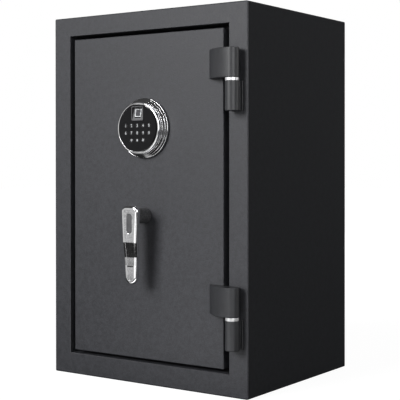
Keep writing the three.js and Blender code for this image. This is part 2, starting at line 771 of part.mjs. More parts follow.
// Motor lock, its bolt, the battery box and the wiring
function makeLock(door, lock) {
  const pocketHalf = lockBoltSize / 2 + lockBoltClearance;
  const lockBoltY = plateY + lockBoltDepth;
  const lockBoltTop = armZ[0] - lockBoltRest;
  const lockBoltBottom = lockBoltTop - lockBoltLength;
  const pocket = block(
    [lockBoltX - pocketHalf, lockBoltX + pocketHalf],
    [lockBoltY - pocketHalf, lockBoltY + pocketHalf],
    [lockBoltBottom - lockBoltClearance, lockZ[1] + overrun],
  );
  const lockBody = block(lockX, [plateY, plateY + lockDepth], lockZ);
  place("lock_case", cut(lockBody, pocket), satinSteel, door);

  const half = lockBoltSize / 2;
  const lockBolt = block(
    [lockBoltX - half, lockBoltX + half],
    [lockBoltY - half, lockBoltY + half],
    [lockBoltBottom, lockBoltTop],
  );
  place("lock_bolt", lockBolt, brass, lock);

  place("battery_box", block(batteryX, [plateY, plateY + batteryDepth], batteryZ), blackPlastic, door);

  const runX = (armRight + batteryX[0]) / 2;
  const runY = plateY + cableLift;
  const lockEntryZ = (lockZ[0] + lockZ[1]) / 2;
  const bend = (share) => share * cableSweep;
  const trunk = tube([
    [0, frontY - boardBack + sealedGap, keypadZ],
    [0, frontY + doorThickness / 2, keypadZ],
    [0, plateY - bend(0.2), keypadZ],
    [bend(0.08), plateY + bend(0.08), keypadZ - bend(0.04)],
    [bend(0.36), runY, keypadZ - bend(0.16)],
    [bend(1), runY, keypadZ - bend(0.32)],
    [runX - bend(0.64), runY, keypadZ - bend(0.56)],
    [runX - bend(0.16), runY, keypadZ - bend(1)],
    [runX, runY, keypadZ - bend(1.68)],
    [runX, runY, handleZ],
    [runX, runY, lockEntryZ + bend(0.96)],
    [runX - bend(0.08), runY, lockEntryZ + bend(0.28)],
    [runX - bend(0.24), runY, lockEntryZ + bend(0.04)],
    [lockX[1] + sealedGap, runY, lockEntryZ],
  ]);
  const branchZ = (batteryZ[0] + batteryZ[1]) / 2;
  const branch = barAlongX(cableRadius, [runX, batteryX[0] - sealedGap], runY, branchZ, 8);
  place("lock_harness", joined(trunk, branch), rubber, door);
}

// A closed round tube along a smooth line through the points given.
function tube(points) {
  const route = new THREE.CatmullRomCurve3(
    points.map(([x, y, z]) => new THREE.Vector3(x, y, z)),
    false,
    "centripetal",
  );
  const section = new THREE.Shape();
  section.absarc(0, 0, cableRadius, 0, 2 * Math.PI, false);
  return new THREE.ExtrudeGeometry(section, {
    extrudePath: route,
    steps: 44,
    curveSegments: 4,
    bevelEnabled: false,
  });
}

// Keypad: base, stepped housing, bezel, face and board
function makeKeypad(door) {
  const base = turned([
    [cableHoleRadius, 0],
    [keypadBaseRadius, 0],
    [keypadBaseRadius, keypadBaseThickness],
    [boardBossRadius, keypadBaseThickness],
    [boardBossRadius, boardBack],
    [cableHoleRadius, boardBack],
    [cableHoleRadius, 0],
  ]);
  place("keypad_base", standOff(base), blackPlastic, door);

  const steps = [];
  let height = keypadBaseThickness;
  for (const [radius, front] of [...housingSteps, [bezelOuterRadius, housingFront]]) {
    steps.push([radius, height]);
    steps.push([radius, front]);
    height = front + housingStepSlope;
  }
  const housing = turned(
    [
      [housingBore, keypadBaseThickness],
      ...steps,
      [ledgeRadius, housingFront],
      [ledgeRadius, housingFront - ledgeThickness],
      [housingBore, housingFront - ledgeThickness],
      [housingBore, keypadBaseThickness],
    ],
    40,
  );
  place("keypad_housing", standOff(housing), chrome, door);

  const bezel = turned(
    [
      [bezelInnerRadius, housingFront],
      [bezelOuterRadius, housingFront],
      [bezelOuterRadius, bezelShoulder],
      [bezelLand[1], bezelFront],
      [bezelLand[0], bezelFront],
      [bezelInnerRadius, bezelInnerEdge],
      [bezelInnerRadius, housingFront],
    ],
    40,
  );
  place("keypad_bezel", standOff(bezel), chrome, door);

  const holes = keyPlaces().map(({ x, z }) =>
    keypadBar(keyRadius + keyClearance, 0, faceFront + overrun, x, z),
  );
  const sensorHole = alongY(
    roundedRectangle(
      0,
      keypadZ + sensorFrameZ,
      sensorFrameWidth + 2 * sealedGap,
      sensorFrameHeight + 2 * sealedGap,
      sensorFrameCorner + sealedGap,
    ),
    [frontY - faceFront - overrun, frontY],
  );
  const disc = turned(
    [
      [0, housingFront],
      [bezelInnerRadius - sealedGap, housingFront],
      [bezelInnerRadius - sealedGap, faceFront],
      [0, faceFront],
    ],
    40,
  );
  place("keypad_face", cut(standOff(disc), sensorHole, ...holes), glossBlack, door);

  const boardFront = boardBack + boardThickness;
  const switchTop = keyBack - keyTravel - switchGap;
  const board = turned([
    [0, boardBack],
    [boardRadius, boardBack],
    [boardRadius, boardFront],
    [0, boardFront],
  ]);
  const switches = keyPlaces().map(({ x, z }) =>
    keypadBar(switchRadius, boardBack, switchTop, x, z, switchSides),
  );
  place("keypad_board", joined(standOff(board), ...switches), circuitGreen, door);
}

function makeSensor(door) {
  const z = keypadZ + sensorFrameZ;
  const outline = roundedRectangle(0, z, sensorFrameWidth, sensorFrameHeight, sensorFrameCorner);
  const frameY = [frontY - faceFront - sensorFrameProud, frontY - housingFront];
  const halfWidth = sensorFrameWidth / 2 - sensorLip;
  const halfHeight = sensorFrameHeight / 2 - sensorLip;
  const pocket = new THREE.Shape([
    new THREE.Vector2(frontY - sensorFloorTop, z + halfHeight),
    new THREE.Vector2(frameY[0] - overrun, z + halfHeight),
    new THREE.Vector2(frameY[0] - overrun, z - halfHeight),
    new THREE.Vector2(frontY - sensorFloorBottom, z - halfHeight),
  ]);
  const pocketSolid = alongX(pocket, [-halfWidth, halfWidth]);
  place("fingerprint_frame", cut(alongY(outline, frameY), pocketSolid), blackPlastic, door);

  // The glass is drawn upright at the pocket's middle, then leaned to lie over its floor.
  const slope = Math.atan2(sensorFloorBottom - sensorFloorTop, 2 * halfHeight);
  const glass = alongY(
    roundedRectangle(0, sensorGlassRise, sensorGlassWidth, sensorGlassHeight, sensorGlassCorner),
    [-sealedGap - sensorGlassThickness, -sealedGap],
  );
  const middle = frontY - (sensorFloorTop + sensorFloorBottom) / 2;
  place("fingerprint_glass", glass.rotateX(-slope).translate(0, middle, z), sensorGlass, door);
}

// Key centres from the keypad's centre, one row below another.
function keyPlaces() {
  return keyRows.flatMap((names, row) =>
    names.map((name, column) => ({
      name,
      x: (column - (names.length - 1) / 2) * keyPitchX,
      z: keypadZ + firstRowZ - row * keyPitchZ,
    })),
  );
}

function makeKeys(door) {
  for (const { name, x, z } of keyPlaces()) {
    const key = turned(
      [
        [0, keyBack],
        [keyRadius + keyFlange, keyBack],
        [keyRadius + keyFlange, keyFlangeFront],
        [keyRadius, keyFlangeFront],
        [keyRadius, faceFront + keyStandProud],
        [0, faceFront + keyStandProud],
      ],
      16,
    );
    place(`key_${name}`, standOff(key, x, z), blackPlastic, door);
  }
}

// A piece turned about the line that stands off the door at a point: its heights become
// distances in front of the door's face.
function standOff(geometry, x = 0, z = keypadZ) {
  return geometry.rotateX(Math.PI).translate(x, frontY, z);
}

// A bar between two distances in front of the door's face.
function keypadBar(radius, near, far, x, z, sides = 16) {
  return barAlongY(radius, [frontY - far, frontY - near], x, z, sides);
}

// Lever, hub, spindle and crank
function makeHandle(handle) {
  const headHalf = leverHeadWidth / 2;
  const corner = Math.min(leverHeadCorner, headHalf);
  const tipRadius = leverTipWidth / 2;
  const headZ = leverTopZ - corner;
  const tipZ = leverBottomZ + tipRadius;
  // Sides of the outline touch a corner and the tip: the touching points lie this far round.
  const across = headHalf - corner;
  const lean =
    Math.acos((tipRadius - corner) / Math.hypot(across, headZ - tipZ)) - Math.atan2(headZ - tipZ, across);
  const outline = new THREE.Shape();
  outline.absarc(across, headZ, corner, -lean, Math.PI / 2, false);
  outline.absarc(-across, headZ, corner, Math.PI / 2, Math.PI + lean, false);
  outline.absarc(0, tipZ, tipRadius, Math.PI + lean, 2 * Math.PI - lean, false);

  // Seen from the side the lever keeps its thickness and follows its front.
  const marks = leverMarks();
  const frontSide = marks.map(([z, reach]) => new THREE.Vector2(frontY - reach, z));
  const backSide = frontSide.map((point) => new THREE.Vector2(point.x + leverThickness, point.y));
  const side = new THREE.Shape([...frontSide, ...backSide.reverse()]);
  const sideSolid = alongX(side, [-leverHeadWidth, leverHeadWidth]);
  const reach = leverReach(leverTopZ);
  const outlineSolid = alongY(outline, [frontY - reach - overrun, frontY], 12);
  const leverSolid = toGeometry(toSolid(outlineSolid).intersect(toSolid(sideSolid)));

  const inlayZ = leverTopZ - inlayTopBelow - inlayHeight / 2;
  const recess = capsule(0, inlayZ, inlayWidth, inlayHeight);
  const inlayOutline = capsule(0, inlayZ, inlayWidth - 2 * sealedGap, inlayHeight - 2 * sealedGap);
  const bedY = frontY - leverReach(inlayZ) + inlayRecess;
  const recessSolid = alongY(recess, [frontY - reach - overrun, bedY], 8);
  place("handle_lever", cut(leverSolid, recessSolid), chrome, handle);

  const inlayY = [bedY - hubClearance - inlayThickness, bedY - hubClearance];
  place("lever_inlay", alongY(inlayOutline, inlayY, 8), satinSteel, handle);

  const hubFront = leverReach(handleZ - hubRadius) - leverThickness - hubClearance;
  const hubBar = barAlongY(hubRadius, [frontY - hubFront, frontY - hubClearance], 0, handleZ, 32);
  const spindleBore = barAlongY(
    spindleRadius + spindleClearance,
    [frontY - spindleInHub - hubClearance, frontY],
    0,
    handleZ,
    32,
  );
  place("handle_hub", cut(hubBar, spindleBore), blackPaint, handle);

  const spindleY = [frontY - spindleInHub, plateY + spindleEnd];
  place("spindle", barAlongY(spindleRadius, spindleY, 0, handleZ, 32), brightSteel, handle);

  const crankY = [plateY + crankFront, plateY + crankFront + crankThickness];
  const discHole = barAlongY(
    spindleRadius + hubClearance,
    [crankY[0] - overrun, crankY[1] + overrun],
    0,
    handleZ,
    32,
  );
  const crankPin = barAlongY(
    crankPinRadius,
    [crankY[1] - overrun, plateY + crankPinEnd],
    crankArm * Math.sin(crankSwing),
    handleZ - crankArm * Math.cos(crankSwing),
  );
  const disc = barAlongY(crankRadius, crankY, 0, handleZ, 32);
  place("crank_disc", cut(joined(disc, crankPin), discHole), zincSteel, handle);
}

// Height and reach of each mark on the lever's front. The ends run past its top and bottom.
function leverMarks() {
  const marks = leverFront.map(([below, reach]) => [leverTopZ - below, reach]);
  marks[0][0] += overrun;
  marks[marks.length - 1][0] = leverBottomZ - overrun;
  return marks;
}

// Distance of the lever's front from the door's face, at a height.
function leverReach(z) {
  const marks = leverMarks();
  const next = Math.max(1, marks.findIndex(([height]) => height < z));
  const [above, before] = marks[next - 1];
  const [below, after] = marks[next];
  return before + ((after - before) * (above - z)) / (above - below);
}

function makeBush(door) {
  const bore = spindleRadius + spindleClearance;
  const bush = turned([
    [bore, frontY],
    [bushRadius, frontY],
    [bushRadius, plateY],
    [bushFlangeRadius, plateY],
    [bushFlangeRadius, plateY + bushFlangeThickness],
    [bore, plateY + bushFlangeThickness],
    [bore, frontY],
  ]);
  place("spindle_bush", bush.translate(0, 0, handleZ), brass, door);
}

const doorGroup = new THREE.Group();
const handleGroup = new THREE.Group();
const boltworkGroup = new THREE.Group();
const lockGroup = new THREE.Group();
safe.add(doorGroup);
doorGroup.add(handleGroup, boltworkGroup, lockGroup);

makeBody();
makeInside();
for (const [position, baseZ] of Object.entries(hingeBases)) makeHinge(position, baseZ, doorGroup);
makeDoor(doorGroup);
makeDoorBolts(doorGroup);
makeBush(doorGroup);
makeHandle(handleGroup);
makeBoltwork(boltworkGroup);
makeLock(doorGroup, lockGroup);
makeKeypad(doorGroup);
makeSensor(doorGroup);
makeKeys(doorGroup);

export default safe;
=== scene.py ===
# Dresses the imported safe: textured paint, chrome keypad ring and lever, keys with their
# numbers, hinges, inside fittings, and a plain studio. Sizes are in millimetres and are
# multiplied by mm where Blender takes them.
import json
import math

import bmesh
import bpy
from mathutils import Matrix, Vector


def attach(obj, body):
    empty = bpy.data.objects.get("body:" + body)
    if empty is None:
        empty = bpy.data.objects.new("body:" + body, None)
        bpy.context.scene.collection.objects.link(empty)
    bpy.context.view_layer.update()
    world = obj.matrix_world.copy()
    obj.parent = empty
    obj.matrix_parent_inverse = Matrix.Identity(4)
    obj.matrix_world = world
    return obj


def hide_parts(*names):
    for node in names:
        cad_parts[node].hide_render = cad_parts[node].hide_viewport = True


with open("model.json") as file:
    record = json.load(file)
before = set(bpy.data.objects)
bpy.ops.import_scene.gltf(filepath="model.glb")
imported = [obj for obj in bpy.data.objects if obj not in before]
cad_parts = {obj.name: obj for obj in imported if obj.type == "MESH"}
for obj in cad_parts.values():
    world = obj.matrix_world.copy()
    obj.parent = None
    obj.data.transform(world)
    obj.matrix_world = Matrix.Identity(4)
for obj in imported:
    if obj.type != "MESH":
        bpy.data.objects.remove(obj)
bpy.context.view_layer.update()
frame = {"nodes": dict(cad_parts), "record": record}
nodes = frame["nodes"]
mm = 0.001
doorFace = -160.0  # y of the door's and the frame's front
print("stage: frame loaded with", len(nodes), "nodes")


def addObject(name, data):
    added = bpy.data.objects.new(name, data)
    bpy.context.scene.collection.objects.link(added)
    return added


# Camera, where the photograph was taken from
cameraSettings = {
    "place": (1065.9, -1524.2, 370.4),
    "pitchDown": 0.373,  # degrees
    "roll": 0.04,
    "yaw": 35.05,
    "sensor": 36.0,
    "lens": 95.45,
    "shiftUp": -0.089,
    "clip": (0.05, 60.0),  # metres
}


def makeCamera(settings):
    data = bpy.data.cameras.new("photoCamera")
    data.sensor_fit = "HORIZONTAL"
    data.sensor_width = settings["sensor"]
    data.lens = settings["lens"]
    data.shift_y = settings["shiftUp"]
    data.clip_start, data.clip_end = settings["clip"]
    camera = addObject("photoCamera", data)
    camera.location = Vector(settings["place"]) * mm
    camera.rotation_euler = (
        math.radians(90.0 - settings["pitchDown"]),
        math.radians(settings["roll"]),
        math.radians(settings["yaw"]),
    )
    bpy.context.scene.camera = camera


makeCamera(cameraSettings)
bpy.context.scene.view_settings.view_transform = "Standard"
print("stage: camera placed")


# Finishes. Scales are those of patches and grain, per metre, and colours are linear.
finishes = {
    "body_paint": {
        "colours": ((0.030, 0.031, 0.034), (0.042, 0.043, 0.047)),
        "scales": (130.0, 900.0),
        "roughness": (0.62, 0.72),
        "relief": (0.35, 0.0002),
        "specular": 0.06,
    },
    "frame_paint": {
        "colours": ((0.018, 0.019, 0.023), (0.039, 0.040, 0.047)),
        "scales": (160.0, 520.0),
        "roughness": (0.50, 0.60),
        "relief": (0.6, 0.0003),
    },
    "hinge_paint": {
        "colours": ((0.020, 0.021, 0.024), (0.030, 0.031, 0.035)),
        "scales": (160.0, 1300.0),
        "roughness": (0.40, 0.50),
        "relief": (0.25, 0.0001),
    },
    "liner_paint": {
        "colours": ((0.130, 0.133, 0.138), (0.165, 0.168, 0.174)),
        "scales": (60.0, 1500.0),
        "roughness": (0.45, 0.58),
    },
    "fire_fill": {
        "colours": ((0.42, 0.40, 0.36), (0.56, 0.54, 0.49)),
        "scales": (90.0, 700.0),
        "roughness": (0.85, 0.95),
        "relief": (0.6, 0.0004),
        "specular": 0.2,
    },
    "seal_rubber": {
        "colours": ((0.012, 0.012, 0.013), (0.022, 0.022, 0.023)),
        "scales": (200.0, 2500.0),
        "roughness": (0.62, 0.78),
        "specular": 0.35,
    },
    "mat_felt": {
        "colours": ((0.018, 0.018, 0.020), (0.050, 0.050, 0.054)),
        "scales": (260.0, 2200.0),
        "roughness": (0.92, 1.0),
        "relief": (0.9, 0.0005),
        "specular": 0.1,
        "sheen": 0.3,
    },
    "bright_steel": {
        "colours": ((0.74, 0.74, 0.75), (0.84, 0.84, 0.85)),
        "scales": (90.0, 1500.0),
        "stretch": (1.0, 1.0, 12.0),
        "roughness": (0.34, 0.44),
        "relief": (0.08, 0.00005),
        "metallic": 0.6,
    },
    "satin_steel": {
        "colours": ((0.065, 0.065, 0.07), (0.105, 0.105, 0.11)),
        "scales": (120.0, 1800.0),
        "stretch": (10.0, 1.0, 1.0),
        "roughness": (0.48, 0.58),
        "relief": (0.1, 0.00005),
        "metallic": 0.3,
    },
    "zinc_steel": {
        "colours": ((0.20, 0.21, 0.215), (0.32, 0.33, 0.335)),
        "scales": (45.0, 900.0),
        "roughness": (0.46, 0.60),
        "relief": (0.1, 0.0001),
        "metallic": 0.5,
    },
    "sensor_trim": {
        "colours": ((0.38, 0.39, 0.40), (0.54, 0.55, 0.56)),
        "scales": (45.0, 900.0),
        "roughness": (0.30, 0.48),
        "relief": (0.1, 0.0001),
        "metallic": 0.9,
    },
    "chrome": {
        "colours": ((0.84, 0.84, 0.85), (0.90, 0.90, 0.91)),
        "scales": (60.0, 1200.0),
        "roughness": (0.03, 0.07),
        "relief": (0.02, 0.00005),
        "metallic": 1.0,
    },
    "satin_chrome": {
        "colours": ((0.52, 0.52, 0.53), (0.80, 0.80, 0.81)),
        "scales": (230.0, 700.0),
        "roughness": (0.07, 0.15),
        "relief": (0.12, 0.0001),
        "metallic": 1.0,
    },
    "lever_chrome": {
        "colours": ((0.74, 0.74, 0.75), (0.90, 0.90, 0.91)),
        "scales": (120.0, 900.0),
        "roughness": (0.05, 0.10),
        "relief": (0.06, 0.0001),
        "metallic": 1.0,
    },
    "brass": {
        "colours": ((0.50, 0.34, 0.12), (0.62, 0.44, 0.18)),
        "scales": (80.0, 1200.0),
        "roughness": (0.28, 0.42),
        "relief": (0.1, 0.00005),
        "metallic": 1.0,
    },
    "black_paint": {
        "colours": ((0.05, 0.05, 0.053), (0.16, 0.16, 0.166)),
        "scales": (300.0, 600.0),
        "roughness": (0.50, 0.66),
        "relief": (0.7, 0.0003),
        "specular": 0.4,
    },
    "black_plastic": {
        "colours": ((0.012, 0.012, 0.013), (0.018, 0.018, 0.019)),
        "scales": (200.0, 2400.0),
        "roughness": (0.42, 0.55),
        "specular": 0.4,
    },
    "gloss_black": {
        "colours": ((0.008, 0.008, 0.009), (0.012, 0.012, 0.013)),
        "scales": (90.0, 1500.0),
        "roughness": (0.10, 0.16),
        "relief": (0.02, 0.00005),
        "specular": 0.15,
    },
    "key_black": {
        "colours": ((0.009, 0.009, 0.010), (0.014, 0.014, 0.015)),
        "scales": (150.0, 1800.0),
        "roughness": (0.14, 0.22),
        "relief": (0.03, 0.00005),
        "specular": 0.35,
    },
    "key_white": {
        "colours": ((0.50, 0.51, 0.53), (0.60, 0.61, 0.63)),
        "scales": (400.0, 2500.0),
        "roughness": (0.45, 0.6),
        "relief": (0.05, 0.00003),
        "specular": 0.4,
    },
    "sensor_frame": {
        "colours": ((0.075, 0.075, 0.08), (0.11, 0.11, 0.115)),
        "scales": (200.0, 2200.0),
        "roughness": (0.34, 0.48),
        "relief": (0.1, 0.00005),
    },
    "sensor_glass": {
        "colours": ((0.060, 0.060, 0.066), (0.140, 0.140, 0.150)),
        "scales": (500.0, 3000.0),
        "roughness": (0.08, 0.14),
        "relief": (0.02, 0.00003),
    },
    "circuit_board": {
        "colours": ((0.010, 0.055, 0.025), (0.016, 0.090, 0.040)),
        "scales": (260.0, 1600.0),
        "roughness": (0.35, 0.5),
    },
    "cable_black": {
        "colours": ((0.012, 0.012, 0.013), (0.020, 0.020, 0.021)),
        "scales": (300.0, 2400.0),
        "roughness": (0.5, 0.62),
        "relief": (0.15, 0.0001),
        "specular": 0.4,
    },
}
finishes["door_paint"] = dict(finishes["frame_paint"])
plainRelief = (0.2, 0.0001)
noiseRoughness = 0.55
patchDetail = 3.0
grainDetail = 2.0
noiseSpan = (0.3, 0.7)  # where the noise has nearly all of its values
rampSpan = (0.36, 0.64)  # where the mean of two noises has them


def addNode(material, kind, **inputs):
    node = material.node_tree.nodes.new(kind)
    for name, value in inputs.items():
        node.inputs[name].default_value = value
    return node


def addNoise(material, points, scale, detail):
    node = addNode(material, "ShaderNodeTexNoise", Scale=scale, Detail=detail, Roughness=noiseRoughness)
    material.node_tree.links.new(points, node.inputs["Vector"])
    return node.outputs["Fac"]


def rangeNode(material, source, span, results):
    node = addNode(material, "ShaderNodeMapRange")
    for name, value in zip(("From Min", "From Max", "To Min", "To Max"), (*span, *results)):
        node.inputs[name].default_value = value
    material.node_tree.links.new(source, node.inputs["Value"])
    return node.outputs["Result"]


def mathNode(material, kind, first, second):
    node = addNode(material, "ShaderNodeMath")
    node.operation = kind
    for socket, value in zip(node.inputs, (first, second)):
        if isinstance(value, float):
            socket.default_value = value
        else:
            material.node_tree.links.new(value, socket)
    return node.outputs["Value"]


def makeFinish(name, settings):
    material = bpy.data.materials.new(name)
    material.use_nodes = True
    links = material.node_tree.links
    shader = material.node_tree.nodes["Principled BSDF"]
    points = addNode(material, "ShaderNodeTexCoord").outputs["Object"]
    grainPoints = points
    if "stretch" in settings:
        mapping = addNode(material, "ShaderNodeMapping", Scale=settings["stretch"])
        links.new(points, mapping.inputs["Vector"])
        grainPoints = mapping.outputs["Vector"]

    coarse, fine = settings["scales"]
    patches = addNoise(material, points, coarse, patchDetail)
    grain = addNoise(material, grainPoints, fine, grainDetail)
    both = mathNode(material, "MULTIPLY", mathNode(material, "ADD", patches, grain), 0.5)

    colours = addNode(material, "ShaderNodeValToRGB")
    for element, position, colour in zip(colours.color_ramp.elements, rampSpan, settings["colours"]):
        element.position = position
        element.color = (*colour, 1.0)
    links.new(both, colours.inputs["Fac"])
    links.new(colours.outputs["Color"], shader.inputs["Base Color"])
    roughness = rangeNode(material, patches, noiseSpan, settings["roughness"])
    links.new(roughness, shader.inputs["Roughness"])

    strength, distance = settings.get("relief", plainRelief)
    relief = addNode(material, "ShaderNodeBump", Strength=strength, Distance=distance)
    links.new(grain, relief.inputs["Height"])
    links.new(relief.outputs["Normal"], shader.inputs["Normal"])

    shader.inputs["Metallic"].default_value = settings.get("metallic", 0.0)
    shader.inputs["Specular IOR Level"].default_value = settings.get("specular", 0.5)
    shader.inputs["Sheen Weight"].default_value = settings.get("sheen", 0.0)
    return material


materials = {name: makeFinish(name, settings) for name, settings in finishes.items()}


def giveFinish(piece, finish):
    piece.data.materials.clear()
    piece.data.materials.append(materials[finish])


slotOf = {part["node"]: part["material_slot"] for part in frame["record"]["subparts"]}
for nodeName, node in nodes.items():
    giveFinish(node, slotOf[nodeName])
print("stage: finishes made,", len(materials))


# Modelling tools
weld = 1e-6  # metres within which vertices are one


def takeUp(piece=None):
    if bpy.context.mode != "OBJECT":
        bpy.ops.object.mode_set(mode="OBJECT")
    bpy.ops.object.select_all(action="DESELECT")
    if piece is not None:
        piece.select_set(True)
        bpy.context.view_layer.objects.active = piece


def edit(piece):
    takeUp(piece)
    bpy.ops.object.mode_set(mode="EDIT")
    bpy.ops.mesh.select_mode(type="VERT")
    bpy.ops.mesh.select_all(action="SELECT")


def leave():
    bpy.ops.object.mode_set(mode="OBJECT")


def near(value, *targets):
    return any(abs(value - target) < 0.02 for target in targets)


# Selects the vertices or edges whose place in millimetres passes one of the tests. An edge
# passes a test if both of its ends do.
def pick(piece, kind, *tests):
    bpy.ops.mesh.select_mode(type=kind)
    bpy.ops.mesh.select_all(action="DESELECT")
    mesh = bmesh.from_edit_mesh(piece.data)
    for part in mesh.verts if kind == "VERT" else mesh.edges:
        ends = [part] if kind == "VERT" else part.verts
        if any(all(test(end.co / mm) for end in ends) for test in tests):
            part.select_set(True)
    bmesh.update_edit_mesh(piece.data)


# Rounds the edges that pass one of the tests.
def roundWhere(piece, width, segments, *tests):
    edit(piece)
    pick(piece, "EDGE", *tests)
    bpy.ops.mesh.bevel(offset=width * mm, offset_type="OFFSET", segments=segments, affect="EDGES")
    leave()


def closeMesh():
    bpy.ops.mesh.select_all(action="SELECT")
    bpy.ops.mesh.remove_doubles(threshold=weld)
    bpy.ops.mesh.normals_make_consistent(inside=False)
    leave()


# Names the piece that was just added, and puts its place, turn and size into its mesh.
def settle(name):
    piece = bpy.context.object
    piece.name = piece.data.name = name
    bpy.ops.object.transform_apply(location=True, rotation=True, scale=True)
    return piece


# Draws a line of vertices from point to point, and leaves it selected.
def draw(name, points):
    takeUp()
    bpy.ops.mesh.primitive_plane_add(size=mm, location=Vector(points[0]) * mm)
    piece = settle(name)
    edit(piece)
    bpy.ops.mesh.merge(type="CENTER")
    for before, after in zip(points, points[1:]):
        step = Vector(after) - Vector(before)
        bpy.ops.mesh.extrude_vertices_move(TRANSFORM_OT_translate={"value": step * mm})
    bpy.ops.mesh.select_all(action="SELECT")
    return piece


# An outline filled and made solid by one push, then closed and turned right side out.
def drawSolid(name, points, step):
    piece = draw(name, points)
    bpy.ops.mesh.edge_face_add()
    bpy.ops.mesh.extrude_region_move(TRANSFORM_OT_translate={"value": Vector(step) * mm})
    closeMesh()
    return piece


# A closed profile spun once round an axis.
def spinProfile(name, points, centre, axis, steps=96):
    piece = draw(name, points)
    bpy.ops.mesh.spin(steps=steps, angle=2 * math.pi, center=Vector(centre) * mm, axis=Vector(axis))
    closeMesh()
    return piece


# Points of an arc in two dimensions, by angles in degrees.
def arc(centre, radius, start, end, steps):
    points = []
    for i in range(steps + 1):
        angle = math.radians(start + (end - start) * i / steps)
        points.append((centre[0] + radius * math.cos(angle), centre[1] + radius * math.sin(angle)))
    return points


def roundedRectangle(x, z, width, height, radius, steps=8):
    across, up = width / 2 - radius, height / 2 - radius
    points = []
    for i, (a, b) in enumerate(((1, 1), (-1, 1), (-1, -1), (1, -1))):
        points += arc((x + a * across, z + b * up), radius, 90 * i, 90 * (i + 1), steps)
    return points


def useModifier(piece, kind, **settings):
    takeUp(piece)
    modifier = piece.modifiers.new(kind.lower(), kind)
    for key, value in settings.items():
        setattr(modifier, key, value)
    bpy.ops.object.modifier_apply(modifier=modifier.name)


def roundEdges(piece, width, segments=3, angle=35.0):
    limits = {"limit_method": "ANGLE", "angle_limit": math.radians(angle)}
    useModifier(piece, "BEVEL", width=width * mm, segments=segments, **limits)


def carve(piece, *tools):
    for tool in tools:
        useModifier(piece, "BOOLEAN", object=tool, operation="DIFFERENCE", solver="EXACT")
        bpy.data.objects.remove(tool)


def addBar(name, radius, start, end, sides=64):
    takeUp()
    start, end = Vector(start), Vector(end)
    along = end - start
    bpy.ops.mesh.primitive_cylinder_add(
        vertices=sides,
        radius=radius * mm,
        depth=along.length * mm,
        location=(start + end) / 2 * mm,
        rotation=along.to_track_quat("Z", "Y").to_euler(),
    )
    return settle(name)


def addBlock(name, xs, ys, zs):
    takeUp()
    middle = Vector((sum(xs), sum(ys), sum(zs))) / 2
    bpy.ops.mesh.primitive_cube_add(size=1.0, location=middle * mm)
    bpy.context.object.scale = Vector((xs[1] - xs[0], ys[1] - ys[0], zs[1] - zs[0])) * mm
    return settle(name)


# A copy of a CAD node with its triangles merged into whole faces, ready for rounding.
def copyNode(node, name):
    takeUp()
    piece = addObject(name, nodes[node].data.copy())
    takeUp(piece)
    if piece.data.has_custom_normals:
        bpy.ops.mesh.customdata_custom_splitnormals_clear()
    edit(piece)
    bpy.ops.mesh.remove_doubles(threshold=weld)
    bpy.ops.mesh.dissolve_limited(angle_limit=math.radians(0.5))
    leave()
    return piece


def copyPiece(piece, name, step):
    copy = addObject(name, piece.data.copy())
    copy.data.transform(Matrix.Translation(Vector(step) * mm))
    return copy


def complete(piece, body, finish, stands=(), smooth=32.0):
    takeUp(piece)
    bpy.ops.object.shade_smooth_by_angle(angle=math.radians(smooth))
    useModifier(piece, "WEIGHTED_NORMAL", weight=90, keep_sharp=True)
    giveFinish(piece, finish)
    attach(piece, body)
    if stands:
        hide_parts(*stands)
    return piece


# Puts a copy with some edges rounded in the place of a CAD node.
def roundNode(node, name, body, finish, width, *tests):
    piece = copyNode(node, name)
    roundWhere(piece, width, 4, *tests)
    complete(piece, body, finish, [node])


# Body: shell, back and face frame, with the small radii of folded and dressed sheet
bodySettings = {
    "halfWidth": 198.0,
    "height": 610.0,
    "back": 160.0,
    "outerRadius": 2.2,
    "openingRadius": 1.1,
    "halfOpening": 163.25,
    "opening": (35.5, 578.25),
}


def makeBody(settings):
    wide, high, back = settings["halfWidth"], settings["height"], settings["back"]
    radius = settings["outerRadius"]

    def outside(corner):
        return near(abs(corner.x), wide) and near(corner.z, 0.0, high)

    def rim(corner):
        return near(abs(corner.x), wide) or near(corner.z, 0.0, high)

    def rear(corner):
        return near(corner.y, back) and rim(corner)

    def frontRim(corner):
        return near(corner.y, doorFace) and rim(corner)

    low, top = settings["opening"]

    def openingRim(corner):
        across = near(abs(corner.x), settings["halfOpening"]) and low - 0.1 < corner.z < top + 0.1
        along = near(corner.z, low, top) and abs(corner.x) < settings["halfOpening"] + 0.1
        return near(corner.y, doorFace) and (across or along)

    roundNode("outer_shell", "safe_shell", "root", "body_paint", radius, outside)
    roundNode("back_panel", "safe_back", "root", "body_paint", radius, outside, rear)
    face = copyNode("front_frame", "safe_frame")
    roundWhere(face, radius, 4, outside, frontRim)
    roundWhere(face, settings["openingRadius"], 3, openingRim)
    complete(face, "root", "frame_paint", ["front_frame"])


makeBody(bodySettings)
print("stage: body")


# Door slab
doorSettings = {
    "halfWidth": 153.25,
    "bottom": 41.5,
    "top": 571.5,
    "edgeRadius": 1.5,
}


def makeDoor(settings):
    wide, low, high = settings["halfWidth"], settings["bottom"], settings["top"]

    def rim(corner):
        return near(abs(corner.x), wide) or near(corner.z, low, high)

    def frontRim(corner):
        return rim(corner) and near(corner.y, doorFace)

    def corners(corner):
        return near(abs(corner.x), wide) and near(corner.z, low, high)

    roundNode("door_skin", "door_panel", "door", "door_paint", settings["edgeRadius"], frontRim, corners)


makeDoor(doorSettings)
print("stage: door")


